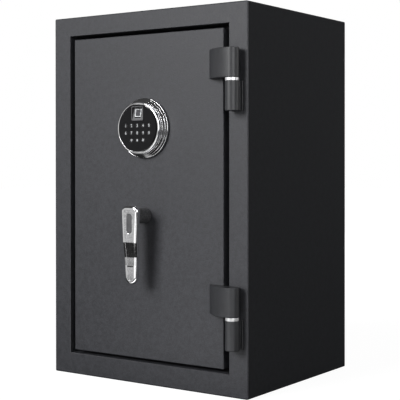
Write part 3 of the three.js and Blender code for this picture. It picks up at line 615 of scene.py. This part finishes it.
# Inside: what shows when the door stands open
insideSettings = {
    "rounded": (
        # node, name of its piece, body, finish, radius of its edges
        ("inner_liner", "liner_box", "root", "liner_paint", 0.8),
        ("door_seal", "seal_ring", "root", "seal_rubber", 1.7),
        ("shelf", "shelf_sheet", "root", "liner_paint", 0.7),
        ("shelf_rail_left", "rail_left", "root", "liner_paint", 0.5),
        ("shelf_rail_right", "rail_right", "root", "liner_paint", 0.5),
        ("floor_mat", "mat", "root", "mat_felt", 1.0),
        ("door_back_cover", "cover_box", "door", "liner_paint", 0.7),
        ("live_bolt_lower", "bolt_lower", "boltwork", "chrome", 1.6),
        ("live_bolt_middle", "bolt_middle", "boltwork", "chrome", 1.6),
        ("live_bolt_upper", "bolt_upper", "boltwork", "chrome", 1.6),
        ("fixed_bolt_lower", "dead_bolt_lower", "door", "chrome", 1.4),
        ("fixed_bolt_upper", "dead_bolt_upper", "door", "chrome", 1.4),
    ),
    "screwRadius": 3.6,
    "screwHeight": 2.0,
    "screwRoot": 1.2,  # depth of the head's foot in the flange
    "screwCrown": 0.65,  # share of its height that is rounded
    "screwSlot": (0.6, 0.5),  # half length as a share of the radius, and half width
    "screwSeat": -120.5,  # y of the cover's flange
    "screwSides": ((-135.0, 135.0), (80.0, 230.0, 385.0, 533.0)),  # x and z
    "screwEnds": ((-65.0, 65.0), (61.0, 552.0)),
}


# A pan-head screw with a cross slot, its head towards +Y.
def makeScrew(name, x, seat, z, settings):
    radius, height = settings["screwRadius"], settings["screwHeight"]
    root, top = seat - settings["screwRoot"], seat + height
    crown = height * settings["screwCrown"]
    head = [(0.0, root), (radius, root), (radius, top - crown)]
    head += arc((radius - crown, top - crown), crown, 15, 90, 4)
    head += [(0.0, top), (0.0, root)]
    screw = spinProfile(name, [(x + r, y, z) for r, y in head], (x, seat, z), (0, 1, 0), 24)
    share, short = settings["screwSlot"]
    span = (top - height / 2, top + 1.0)
    for wide, high in ((radius * share, short), (short, radius * share)):
        carve(screw, addBlock("slot", (x - wide, x + wide), span, (z - high, z + high)))
    return screw


def makeInside(settings):
    for node, name, body, finish, radius in settings["rounded"]:
        piece = copyNode(node, name)
        roundEdges(piece, radius, 3, 40.0)
        complete(piece, body, finish, [node])
    xs, zs = settings["screwSides"]
    places = [(x, z) for x in xs for z in zs]
    xs, zs = settings["screwEnds"]
    places += [(x, z) for z in zs for x in xs]
    firstX, firstZ = places[0]
    first = makeScrew("screw_blank", firstX, settings["screwSeat"], firstZ, settings)
    for i, (x, z) in enumerate(places, 1):
        screw = copyPiece(first, "cover_screw_" + str(i), (x - firstX, 0.0, z - firstZ))
        complete(screw, "door", "zinc_steel")
    bpy.data.objects.remove(first)


makeInside(insideSettings)
print("stage: inside")


# Hinges: leaf with its barrel on the body, washer, and the arm that the door hangs on
hingeSettings = {
    "axis": (179.0, -175.0),
    "barrelRadius": 11.0,
    "bases": {"lower": 76.25, "upper": 441.75},
    "height": 45.5,
    "washerHeight": 5.0,
    "washerRadius": 10.6,
    "washerEdge": 0.5,
    "bore": 4.35,
    "boreFloor": 5.0,
    "boreCap": 6.0,
    "clearance": 0.35,
    "leaf": (168.0, 191.0),
    "leafThickness": 4.0,
    "neck": 7.0,
    "armFoot": 129.0,
    "armTip": 3.0,
    "armClearance": 4.0,
    "doorEdge": 153.25,
    "edge": 0.9,
}


def makeHinge(position, base, settings):
    x, y = settings["axis"]
    radius, height = settings["barrelRadius"], settings["height"]
    barrelTop = base + height
    armBase = barrelTop + settings["washerHeight"] + settings["clearance"]
    leafLeft, leafRight = settings["leaf"]
    leafFront = doorFace - settings["leafThickness"]
    neck = settings["neck"]
    meet = math.degrees(math.asin(neck / radius))

    barrel = arc((x, y), radius, 90.0 + meet, 450.0 - meet, 56)
    plan = barrel + [(x + neck, leafFront), (leafRight, leafFront), (leafRight, doorFace)]
    plan += [(leafLeft, doorFace), (leafLeft, leafFront), (x - neck, leafFront)]
    leaf = drawSolid("hinge_leaf_" + position, [(a, b, base) for a, b in plan], (0, 0, height))
    roundEdges(leaf, settings["edge"])
    low, high = (x, y, base + settings["boreFloor"]), (x, y, barrelTop + 1.0)
    carve(leaf, addBar("bore", settings["bore"], low, high, 48))
    complete(leaf, "root", "hinge_paint", ["frame_hinge_" + position])

    inner, outer = settings["bore"], settings["washerRadius"]
    low, high = barrelTop, barrelTop + settings["washerHeight"]
    ring = [(inner, low), (outer, low), (outer, high), (inner, high), (inner, low)]
    ring = [(x + r, y, z) for r, z in ring]
    washer = spinProfile("hinge_ring_" + position, ring, (x, y, low), (0, 0, 1), 64)
    roundEdges(washer, settings["washerEdge"])
    complete(washer, "root", "bright_steel", ["hinge_washer_" + position])

    foot, front = settings["armFoot"], radius + doorFace - y
    drop = front - settings["armTip"]
    bend = ((x - foot) ** 2 + drop ** 2) / (2 * drop)
    sweep = math.degrees(math.asin((x - foot) / bend))
    shoulder = arc((x, doorFace - front + bend), bend, 270.0 - sweep, 270.0, 28)
    nose = arc((x, y), radius, -90.0, 90.0, 36)
    edge, armBack = settings["doorEdge"], doorFace - settings["armClearance"]
    plan = [(foot, doorFace)] + shoulder + nose[1:] + [(edge, armBack), (edge, doorFace)]
    arm = drawSolid("hinge_arm_" + position, [(a, b, armBase) for a, b in plan], (0, 0, height))
    roundEdges(arm, settings["edge"])
    low, high = (x, y, armBase - 1.0), (x, y, armBase + height - settings["boreCap"])
    carve(arm, addBar("bore", settings["bore"], low, high, 48))
    complete(arm, "door", "hinge_paint", ["door_hinge_arm_" + position])


for position, base in hingeSettings["bases"].items():
    makeHinge(position, base, hingeSettings)
print("stage: hinges")


# Keypad: depths are in front of the door's face, radii from the keypad's centre
keypadSettings = {
    "centre": (0.0, 418.0),
    "footRadius": 48.25,
    "footDepth": 2.0,
    "boss": (6.0, 30.0, 6.0),  # bore, radius and front
    "ridges": (
        # radius, front, radius of its bead
        (49.0, 5.0, 0.55),
        (46.5, 8.75, 0.18),
        (44.0, 12.5, 0.2),
    ),
    "ridgeSlope": 28.0,  # degrees
    "beadEnd": 82.0,  # degrees round each bead, from its outer side
    "valley": (0.02, 0.35),  # from each bead's end, inwards and back
    "front": 14.5,
    "bore": 40.5,
    "ledge": (36.5, 2.0),  # radius and depth
    "rim": (42.5, 38.5),
    "rimLand": 39.75,
    "rimDraft": 0.1,
    "rimInside": 16.5,
    "rimFront": 19.5,
    "rimEdge": 2.0,
    "plateRadius": 38.15,
    "plateFront": 21.0,
    "plateEdge": 0.12,
    "cut": (10.0, 24.0),  # from where to where the plate's holes are cut
    "keyRadius": 4.4,
    "keyEdge": 0.1,
    "keyFlange": (5.1, 12.0, 14.2),  # radius, back and front
    "keyHole": 4.8,
    "keyFront": 21.1,
    "keyPitch": (11.9, 11.8),
    "firstRow": 4.0,
    "rows": (("1", "2", "3", "4", "5"), ("6", "7", "8", "9", "0"), ("star", "bell", "hash")),
}


def onKeypad(profile, settings):
    x, z = settings["centre"]
    return [(x + radius, doorFace - depth, z) for radius, depth in profile]


def spinOnKeypad(name, profile, settings, steps=128):
    x, z = settings["centre"]
    return spinProfile(name, onKeypad(profile, settings), (x, doorFace, z), (0, 1, 0), steps)


def keyPlaces(settings):
    x, z = settings["centre"]
    pitchX, pitchZ = settings["keyPitch"]
    places = []
    for row, names in enumerate(settings["rows"]):
        for column, name in enumerate(names):
            across = (column - (len(names) - 1) / 2) * pitchX
            places.append((name, x + across, z + settings["firstRow"] - row * pitchZ))
    return places


def makeKeypad(settings):
    outside, base = settings["footRadius"], settings["footDepth"]
    bore, boss, bossFront = settings["boss"]
    profile = [(bore, 0.0), (outside, 0.0), (outside, base), (boss, base)]
    profile += [(boss, bossFront), (bore, bossFront), (bore, 0.0)]
    foot = spinOnKeypad("keypad_foot", profile, settings, 96)
    complete(foot, "door", "black_plastic", ["keypad_base"])

    profile = [(settings["bore"], base)]
    slope = math.tan(math.radians(settings["ridgeSlope"]))
    inward = [ridge[0] for ridge in settings["ridges"][1:]] + [settings["rim"][0]]
    for (radius, front, bead), after in zip(settings["ridges"], inward):
        profile.append((radius, base))
        profile += arc((radius - bead, front - bead), bead, 0, settings["beadEnd"], 6)
        valley = (profile[-1][0] - settings["valley"][0], front - settings["valley"][1])
        profile.append(valley)
        base = valley[1] + (valley[0] - after) * slope
    outer, inner = settings["rim"]
    front, (ledge, drop) = settings["front"], settings["ledge"]
    profile += [(outer, base), (outer, front), (ledge, front), (ledge, front - drop)]
    profile += [(settings["bore"], front - drop), (settings["bore"], settings["footDepth"])]
    ring = spinOnKeypad("keypad_ring", profile, settings)
    complete(ring, "door", "chrome", ["keypad_housing"])

    edge, rimFront, inside = settings["rimEdge"], settings["rimFront"], settings["rimInside"]
    land = settings["rimLand"]
    profile = [(inner, front), (outer, front)]
    profile += arc((outer - edge, rimFront - edge), edge, 0, 90, 9)
    profile += [(land, rimFront), (land - settings["rimDraft"], inside), (inner, inside), (inner, front)]
    rim = spinOnKeypad("keypad_rim", profile, settings)
    roundEdges(rim, settings["plateEdge"], 2, 25.0)
    complete(rim, "door", "chrome", ["keypad_bezel"])

    x, z = settings["centre"]
    start, end = (x, doorFace - front, z), (x, doorFace - settings["plateFront"], z)
    plate = addBar("keypad_plate", settings["plateRadius"], start, end, 160)
    first, last = (doorFace - depth for depth in settings["cut"])
    tools = []
    for name, keyX, keyZ in keyPlaces(settings):
        tools.append(addBar("hole", settings["keyHole"], (keyX, first, keyZ), (keyX, last, keyZ), 40))
    pocket = roundedRectangle(x, z + sensorSettings["above"], *sensorSettings["pocket"])
    tools.append(drawSolid("hole", [(a, first, b) for a, b in pocket], (0, last - first, 0)))
    carve(plate, *tools)
    roundEdges(plate, settings["plateEdge"], 2)
    complete(plate, "door", "gloss_black", ["keypad_face"])


# Fingerprint sensor: a framed recess with a sloping floor, a glass and a bright ring on it
sensorSettings = {
    "above": 23.75,
    "pocket": (24.2, 23.7, 2.85),  # width, height and corner of its hole in the plate
    "size": (23.5, 23.0),
    "corner": 2.5,
    "edge": 0.3,
    "front": 21.3,
    "lip": 1.1,
    "floorTop": 16.4,
    "floorBottom": 20.7,
    "raise": 0.8,
    "glass": (9.5, 10.4),
    "glassDepth": 0.25,
    "glassEdge": 0.1,
    # bed: a thin black sheet under the glass and ring, painted shade that shows as a dark line round the
    # ring
    "bed": (11.6, 16.4),
    "shadeBedDepth": 0.06,
    # thin black strips on the recess's side walls, painted shade
    "shadeStrip": 0.2,
    "shadeStripEdge": 0.05,
    "shadeStripBack": 0.4,
    "ring": (11.9, 13.0),
    "ringCorner": 0.8,
    "glassCorner": 0.4,
    "ringWidth": 1.0,
    "ringDepth": 0.35,
}


# A flat rounded piece, leaned to lie on the sensor's floor.
def layOnSlope(name, size, corner, depth, centre, slope):
    x, y, z = centre
    outline = roundedRectangle(x, z, *size, corner)
    piece = drawSolid(name, [(a, y, b) for a, b in outline], (0, -depth, 0))
    place = Matrix.Translation(Vector(centre) * mm)
    piece.data.transform(place @ Matrix.Rotation(slope, 4, "X") @ place.inverted())
    return piece


def makeSensor(settings, keypad):
    x, z = keypad["centre"][0], keypad["centre"][1] + settings["above"]
    width, height = settings["size"]
    back = doorFace - keypad["front"]
    front = doorFace - settings["front"]
    outline = roundedRectangle(x, z, width, height, settings["corner"])
    surround = drawSolid("sensor_surround", [(a, back, b) for a, b in outline], (0, front - back, 0))
    half, reach = width / 2 - settings["lip"], height / 2 - settings["lip"]
    deep, shallow = doorFace - settings["floorTop"], doorFace - settings["floorBottom"]

    # The shape of the recess, or of a slice of it from the side, with its front at a given y.
    def fillRecess(name, start, thick, edge):
        outline = [(deep, z + reach), (edge, z + reach), (edge, z - reach), (shallow, z - reach)]
        return drawSolid(name, [(x + start, a, b) for a, b in outline], (thick, 0, 0))

    carve(surround, fillRecess("wedge", -half, 2 * half, front - 3.0))
    roundEdges(surround, settings["edge"], 2)
    complete(surround, "door", "sensor_frame", ["fingerprint_frame"])

    slope = math.atan2(settings["floorBottom"] - settings["floorTop"], 2 * reach)
    rise = settings["raise"]
    floor = (deep + shallow) / 2 + rise * math.tan(slope)
    centre = (x, floor, z + rise)
    corner, glassCorner = settings["ringCorner"], settings["glassCorner"]
    # A thin black sheet on the recess's floor under the glass and ring: painted shade, a dark line round
    # the ring.
    bed = layOnSlope("sensor_shade_bed", settings["bed"], corner, settings["shadeBedDepth"], centre, -slope)
    complete(bed, "door", "gloss_black")
    # Thin black strips on the recess's left and right walls: painted shade.
    thick, edge = settings["shadeStrip"], front + settings["shadeStripBack"]
    for side, start in (("left", -half), ("right", half - thick)):
        sideShade = fillRecess("sensor_shade_strip_" + side, start, thick, edge)
        roundEdges(sideShade, settings["shadeStripEdge"], 1)
        complete(sideShade, "door", "black_plastic")
    size, depth = settings["glass"], settings["glassDepth"]
    glass = layOnSlope("sensor_window", size, glassCorner, depth, centre, -slope)
    roundEdges(glass, settings["glassEdge"], 2)
    complete(glass, "door", "sensor_glass", ["fingerprint_glass"])

    size = settings["ring"]
    ring = layOnSlope("sensor_ring", size, corner, settings["ringDepth"], centre, -slope)
    inner = [side - 2 * settings["ringWidth"] for side in size]
    behind = (x, floor + 1.0, z + rise)
    carve(ring, layOnSlope("hole", inner, glassCorner, 3.0, behind, -slope))
    roundEdges(ring, settings["glassEdge"], 2)
    complete(ring, "door", "sensor_trim")


makeKeypad(keypadSettings)
makeSensor(sensorSettings, keypadSettings)
print("stage: keypad")


# Keys, one modelled and the rest copied, each with its own mark
markSettings = {
    "size": 6.6,
    "proud": 0.06,
    "bold": 0.12,
    "sunk": 0.01,
    "starScale": 1.6,
    "signs": {"star": "*", "hash": "#"},
    "dome": (0.5, 1.5),  # of the bell: height of the centre, and radius
    "skirt": ((-1.6, -0.9), (-2.2, -1.6), (2.2, -1.6), (1.6, -0.9)),
    "clapper": (-1.75, 0.7),
}


def makeKeys(settings, marks):
    flange, back, step = settings["keyFlange"]
    radius, front, edge = settings["keyRadius"], settings["keyFront"], settings["keyEdge"]
    profile = [(0.0, back), (flange, back), (flange, step), (radius, step)]
    profile += [(radius, front - edge), (radius - edge, front), (0.0, front)]
    x, z = settings["centre"]
    first = spinOnKeypad("key_blank", profile, settings, 48)
    for name, keyX, keyZ in keyPlaces(settings):
        key = copyPiece(first, "key_cap_" + name, (keyX - x, 0.0, keyZ - z))
        complete(key, "button_" + name, "key_black", ["key_" + name])
        if name == "bell":
            mark = drawBell(keyX, keyZ, marks)
        else:
            mark = writeMark(marks["signs"].get(name, name), keyX, keyZ, marks, name)
        complete(mark, "button_" + name, "key_white")
    bpy.data.objects.remove(first)


def writeMark(text, x, z, marks, name):
    takeUp()
    bpy.ops.object.text_add()
    word = bpy.context.object
    word.data.body = text
    word.data.size = marks["size"] * mm * (marks["starScale"] if text == "*" else 1.0)
    word.data.extrude = marks["proud"] / 2 * mm
    word.data.offset = marks["bold"] * mm
    word.data.resolution_u = 6
    bpy.ops.object.convert(target="MESH")
    mark = bpy.context.object
    mark.name = mark.data.name = "key_mark_" + name
    low = Vector([min(v.co[i] for v in mark.data.vertices) for i in range(3)])
    high = Vector([max(v.co[i] for v in mark.data.vertices) for i in range(3)])
    mark.data.transform(Matrix.Translation(-(low + high) / 2))
    mark.data.transform(Matrix.Rotation(math.radians(90.0), 4, "X"))
    y = doorFace - keypadSettings["keyFront"] - marks["proud"] / 2 + marks["sunk"]
    mark.data.transform(Matrix.Translation(Vector((x, y, z)) * mm))
    mark.location = (0, 0, 0)
    return mark


def drawBell(x, z, marks):
    y = doorFace - keypadSettings["keyFront"] + marks["sunk"]
    step = (0, -marks["proud"], 0)
    height, radius = marks["dome"]
    outline = arc((x, z + height), radius, 0, 180, 16)
    outline += [(x + across, z + up) for across, up in marks["skirt"]]
    bell = drawSolid("key_mark_bell", [(a, y, b) for a, b in outline], step)
    height, radius = marks["clapper"]
    outline = arc((x, z + height), radius, 180, 360, 10)
    clapper = drawSolid("clapper", [(a, y, b) for a, b in outline], step)
    takeUp(bell)
    clapper.select_set(True)
    bpy.ops.object.join()
    return bell


makeKeys(keypadSettings, markSettings)
print("stage: keys")


# Lever: a leaned, tapered bar with a rim round its sunk front, an inlay, a waist and a groove
leverSettings = {
    "axisHeight": 276.25,
    "top": 293.25,
    "bottom": 167.0,
    "headWidth": 33.0,
    "tipWidth": 23.0,
    "thickness": 8.5,
    "reach": 42.75,
    "headCorner": 10.0,
    "edge": 4.0,
    "backEdge": 1.2,
    "rim": 5.9,
    "rimDepth": 0.5,
    "fronts": ((293.25, 42.75), (234.75, 42.75), (211.0, 40.0), (197.5, 39.6), (167.0, 39.5)),
    "groove": (197.2, 194.9),
    "grooveDepth": 1.1,
    "grooveInset": 5.3,
    "grooveFill": (0.7, 0.02),  # its front and back, in front of the groove's floor
    "grooveGap": 0.05,
    "grooveEdge": 0.15,
    "waistSteps": 40,
    "cutReach": 9.0,
    "faceGap": 0.1,
    "faceThickness": 0.2,
    "sink": 0.02,  # how deep face and inlay sit in what carries them
    "inlay": (9.4, 32.0),
    "inlayBelow": 12.35,
    "inlayDepth": 0.5,
    "inlayLip": 0.7,
    "inlayThickness": 0.75,
    "inlayEdge": 0.25,
    "hubRadius": 12.7,
    "hubEdge": 1.0,
    "hubSunk": 0.3,
    "hubOverlap": 0.9,
}


# Distance of the lever's front from the door's face, at a height.
def leverReach(height, settings):
    marks = settings["fronts"]
    for (above, before), (below, after) in zip(marks, marks[1:]):
        if below <= height <= above:
            return before + (after - before) * (above - height) / (above - below)
    return marks[0][1] if height > marks[0][0] else marks[-1][1]


# The lever's outline from the front, drawn in by an amount and pushed from one depth to another.
def leverOutline(name, settings, drawnIn, y, step):
    top, bottom = settings["top"] - drawnIn, settings["bottom"] + drawnIn
    head, tip = settings["headWidth"] / 2 - drawnIn, settings["tipWidth"] / 2 - drawnIn
    corner = settings["headCorner"] - drawnIn
    outline = (
        arc((head - corner, top - corner), corner, 0, 90, 14)
        + arc((corner - head, top - corner), corner, 90, 180, 14)
        + arc((0.0, bottom + tip), tip, 183, 357, 28)
    )
    return drawSolid(name, [(a, y, b) for a, b in outline], (0, step, 0))


# Cuts the lever across through its waist and sets every height back to its place.
def setBack(lever, settings):
    marks = settings["fronts"]
    high, low = marks[1][0] + 1.0, marks[-2][0] - 1.0
    edit(lever)
    steps = settings["waistSteps"]
    for i in range(steps + 1):
        bpy.ops.mesh.select_all(action="SELECT")
        height = low + (high - low) * i / steps
        bpy.ops.mesh.bisect(plane_co=(0, 0, height * mm), plane_no=(0, 0, 1))
    mesh = bmesh.from_edit_mesh(lever.data)
    heights = {round(corner.co.z / mm, 2) for corner in mesh.verts}
    for height in sorted(heights):
        back = settings["reach"] - leverReach(height, settings)
        if back > 0.001:
            pick(lever, "VERT", lambda corner: abs(corner.z - height) < 0.006)
            bpy.ops.transform.translate(value=(0, back * mm, 0))
    leave()


def makeLever(settings):
    front = doorFace - settings["reach"]
    thick = settings["thickness"]
    rim, sunk = settings["rim"], front + settings["rimDepth"]
    width, height = settings["inlay"]
    middle = settings["top"] - settings["inlayBelow"] - height / 2
    lip = settings["inlayLip"]
    bed = sunk + settings["inlayDepth"]
    high, low = settings["groove"]
    grooveY = sunk + settings["grooveDepth"]
    wide = settings["tipWidth"] / 2 - settings["grooveInset"]
    reach, sink = settings["cutReach"], settings["sink"]

    # Cuts the inlay's recess and the groove, and bends the piece at the waist.
    def shapeFront(piece):
        carve(piece, capsule("recess", middle, width + 2 * lip, height + 2 * lip, bed, -reach))
        carve(piece, addBlock("groove", (-wide, wide), (grooveY - reach, grooveY), (low, high)))
        setBack(piece, settings)

    lever = leverOutline("lever_arm", settings, 0.0, front, thick)
    roundWhere(lever, settings["edge"], 5, lambda corner: near(corner.y, front))
    roundWhere(lever, settings["backEdge"], 2, lambda corner: near(corner.y, front + thick))
    carve(lever, leverOutline("sunk", settings, rim, front - 1.0, 1.0 + settings["rimDepth"]))
    shapeFront(lever)
    complete(lever, "handle", "lever_chrome", ["handle_lever"], 24.0)

    rise = settings["faceThickness"]
    face = leverOutline("lever_face", settings, rim + settings["faceGap"], sunk - rise, rise + sink)
    shapeFront(face)
    complete(face, "handle", "satin_chrome", (), 24.0)

    back = settings["reach"] - leverReach((high + low) / 2, settings)
    span = [grooveY - depth + back for depth in settings["grooveFill"]]
    gap = settings["grooveGap"]
    paint = addBlock("lever_groove", (gap - wide, wide - gap), span, (low + gap, high - gap))
    roundEdges(paint, settings["grooveEdge"], 2)
    complete(paint, "handle", "black_plastic")

    inlay = capsule("lever_insert", middle, width, height, bed + sink, -settings["inlayThickness"])
    roundEdges(inlay, settings["inlayEdge"], 2)
    complete(inlay, "handle", "satin_steel", ["lever_inlay"])

    foot = (0, doorFace - settings["hubSunk"], settings["axisHeight"])
    end = (0, front + thick + settings["hubOverlap"], settings["axisHeight"])
    hub = addBar("lever_hub", settings["hubRadius"], foot, end, 72)
    roundEdges(hub, settings["hubEdge"])
    complete(hub, "handle", "black_paint", ["handle_hub"])


# An upright solid with half-round ends, from a bed towards the front.
def capsule(name, middle, width, height, bed, step):
    reach = (height - width) / 2
    outline = arc((0, middle + reach), width / 2, 0, 180, 20)
    outline += arc((0, middle - reach), width / 2, 180, 360, 20)
    return drawSolid(name, [(a, bed, b) for a, b in outline], (0, step, 0))


makeLever(leverSettings)
print("stage: lever")


# Studio: pale floor, soft lamps, and what metal shows of the surroundings: white behind the
# safe, dim in front with a pale band at the horizon, and three cards in front
studioSettings = {
    "aim": (0.0, -0.16, 0.30),  # metres, as are all lengths here
    "keyFrom": (-0.31, -1.0, 0.45),
    "keyDistance": 3.2,
    "keySize": 1.45,
    "keyPower": 100.0,
    "fills": (
        # name, place, size, power
        ("rightLamp", (1.89, -2.25, 1.33), 1.5, 11.0),
        ("rearLamp", (2.6, 1.3, 0.45), 1.4, 10.5),
        ("backLamp", (-1.0, 3.0, 0.95), 1.8, 22.0),
    ),
    "ambient": 0.06,
    "brightRange": (0.25, 0.7),  # of a direction's y
    "dimmest": 0.05,
    "horizon": (0.20, 0.06),  # of its z
    "horizonGlow": 0.60,
    "horizonRight": (-0.15, 0.25),  # of its x
    "rightGlow": 0.15,
    "horizonLeft": (-0.70, -0.82),
    "leftGlow": 1.3,
    "floorSize": 16.0,
    "floorMiddle": (0.0, 2.0, -0.0006),
    # The floor's glow: for the camera, a little less near the safe so that its shadow shows; in what
    # metal and gloss show, a painted glow far off and in a patch near the safe
    "floorGlow": (0.96, 1.0),
    "floorNear": (0.5, 1.6),
    "floorShown": (1.25, 1.75),
    "floorMirrored": 0.60,
    "floorLeft": (-0.45, -0.1),
    "floorRightGlow": 0.12,
    "floorPatch": ((0.14, -0.40), (0.42, 0.13), 2.0),  # middle, reach, strength
    "patchFade": (0.7, 1.1),
    "floorColour": (0.15, 0.03),  # for light on the safe, and as metal shows it
    "cards": (
        # name, middle, width, height, strength
        ("rightCard", (1.55, -1.15, 0.85), 1.5, 1.7, 5.0),
        ("frontCard", (-0.10, -0.90, 0.165), 0.60, 0.32, 1.8),
        ("sideCard", (0.45, -0.74, 0.11), 0.56, 0.20, 1.3),
    ),
    "cardFade": 0.22,  # share of a card over which its edges fade
}


def addLamp(name, place, size, power, target):
    data = bpy.data.lights.new(name, "AREA")
    data.shape = "SQUARE"
    data.size = size
    data.energy = power
    lamp = addObject(name, data)
    lamp.location = place
    lamp.rotation_euler = (target - Vector(place)).to_track_quat("-Z", "Y").to_euler()


# One value where a ray is of a kind and another where it isn't.
def chooseNode(material, test, yes, no):
    first = mathNode(material, "MULTIPLY", test, yes)
    second = mathNode(material, "MULTIPLY", mathNode(material, "SUBTRACT", 1.0, test), no)
    return mathNode(material, "ADD", first, second)


# A new node with one thing linked to one of its inputs.
def linkNode(material, kind, source, socket):
    node = addNode(material, kind)
    material.node_tree.links.new(source, node.inputs[socket])
    return node


def lengthNode(material, source):
    node = linkNode(material, "ShaderNodeVectorMath", source, 0)
    node.operation = "LENGTH"
    return node.outputs["Value"]


def emptyMaterial(name):
    material = bpy.data.materials.new(name)
    material.use_nodes = True
    material.node_tree.nodes.clear()
    return material


def makeWorld(settings):
    world = bpy.data.worlds.new("studio")
    bpy.context.scene.world = world
    world.use_nodes = True
    world.node_tree.nodes.clear()
    path = addNode(world, "ShaderNodeLightPath").outputs
    seen = mathNode(world, "MAXIMUM", path["Is Camera Ray"], path["Is Transmission Ray"])
    direction = addNode(world, "ShaderNodeTexCoord").outputs["Generated"]
    across, away, up = linkNode(world, "ShaderNodeSeparateXYZ", direction, "Vector").outputs
    around = rangeNode(world, away, settings["brightRange"], (settings["dimmest"], 1.0))
    low = rangeNode(world, up, settings["horizon"], (0.0, settings["horizonGlow"]))
    right = rangeNode(world, across, settings["horizonRight"], (1.0, settings["rightGlow"]))
    left = rangeNode(world, across, settings["horizonLeft"], (1.0, settings["leftGlow"]))
    band = mathNode(world, "MULTIPLY", mathNode(world, "MULTIPLY", low, right), left)
    mirrored = mathNode(world, "MAXIMUM", around, band)
    shown = chooseNode(world, path["Is Glossy Ray"], mirrored, settings["ambient"])
    strength = chooseNode(world, seen, 1.0, shown)
    light = linkNode(world, "ShaderNodeBackground", strength, "Strength")
    light.inputs["Color"].default_value = (1.0, 1.0, 1.0, 1.0)
    linkNode(world, "ShaderNodeOutputWorld", light.outputs["Background"], "Surface")


def makeFloor(settings):
    takeUp()
    bpy.ops.mesh.primitive_plane_add(size=settings["floorSize"], location=settings["floorMiddle"])
    floor = bpy.context.object
    floor.name = "floor"
    bpy.ops.object.transform_apply(location=True)
    material = emptyMaterial("floorWhite")
    path = addNode(material, "ShaderNodeLightPath").outputs
    points = addNode(material, "ShaderNodeTexCoord").outputs["Object"]
    distance = lengthNode(material, points)
    glow = rangeNode(material, distance, settings["floorNear"], settings["floorGlow"])
    # What metal and gloss show of the floor is a painted glow: far off, less to the right, and in a
    # patch near the safe.
    fading = rangeNode(material, distance, settings["floorShown"], (0.0, settings["floorMirrored"]))
    middle, reach, patchGlow = settings["floorPatch"]
    spread = linkNode(material, "ShaderNodeMapping", points, "Vector")
    spread.inputs["Location"].default_value = (-middle[0] / reach[0], -middle[1] / reach[1], 0.0)
    spread.inputs["Scale"].default_value = (1.0 / reach[0], 1.0 / reach[1], 1.0)
    away = lengthNode(material, spread.outputs["Vector"])
    patch = rangeNode(material, away, settings["patchFade"], (patchGlow, 0.0))
    across = linkNode(material, "ShaderNodeSeparateXYZ", points, "Vector").outputs["X"]
    left = rangeNode(material, across, settings["floorLeft"], (1.0, settings["floorRightGlow"]))
    mirrored = mathNode(material, "ADD", mathNode(material, "MULTIPLY", fading, left), patch)
    glossy = mathNode(material, "MULTIPLY", path["Is Glossy Ray"], mirrored)
    strength = chooseNode(material, path["Is Camera Ray"], glow, glossy)
    shine = linkNode(material, "ShaderNodeEmission", strength, "Strength")
    pale, dark = settings["floorColour"]
    colour = chooseNode(material, path["Is Glossy Ray"], dark, pale)
    plain = linkNode(material, "ShaderNodeBsdfDiffuse", colour, "Color")
    added = linkNode(material, "ShaderNodeAddShader", shine.outputs["Emission"], 0)
    material.node_tree.links.new(plain.outputs["BSDF"], added.inputs[1])
    linkNode(material, "ShaderNodeOutputMaterial", added.outputs["Shader"], "Surface")
    floor.data.materials.append(material)


# A card that only metal and gloss show, bright in its middle and fading at its edges.
def makeCard(name, place, width, height, strength, target, fade):
    takeUp()
    bpy.ops.mesh.primitive_plane_add(size=1.0, location=place)
    card = bpy.context.object
    card.name = name
    card.scale = (width, height, 1.0)
    card.rotation_euler = (target - Vector(place)).to_track_quat("Z", "Y").to_euler()
    card.visible_camera = False
    card.visible_diffuse = False
    card.visible_shadow = False
    card.visible_transmission = False
    material = emptyMaterial(name)
    points = addNode(material, "ShaderNodeTexCoord").outputs["Generated"]
    split = linkNode(material, "ShaderNodeSeparateXYZ", points, "Vector").outputs
    brightness = strength
    for axis in ("X", "Y"):
        for span in ((0.0, fade), (1.0, 1.0 - fade)):
            edge = rangeNode(material, split[axis], span, (0.0, 1.0))
            brightness = mathNode(material, "MULTIPLY", edge, brightness)
    shine = linkNode(material, "ShaderNodeEmission", brightness, "Strength")
    linkNode(material, "ShaderNodeOutputMaterial", shine.outputs["Emission"], "Surface")
    card.data.materials.append(material)


def makeStudio(settings):
    target = Vector(settings["aim"])
    place = target + Vector(settings["keyFrom"]).normalized() * settings["keyDistance"]
    addLamp("keyLamp", place, settings["keySize"], settings["keyPower"], target)
    for lamp in settings["fills"]:
        addLamp(*lamp, target)
    makeWorld(settings)
    makeFloor(settings)
    for card in settings["cards"]:
        makeCard(*card, target, settings["cardFade"])


makeStudio(studioSettings)
print("stage: studio")
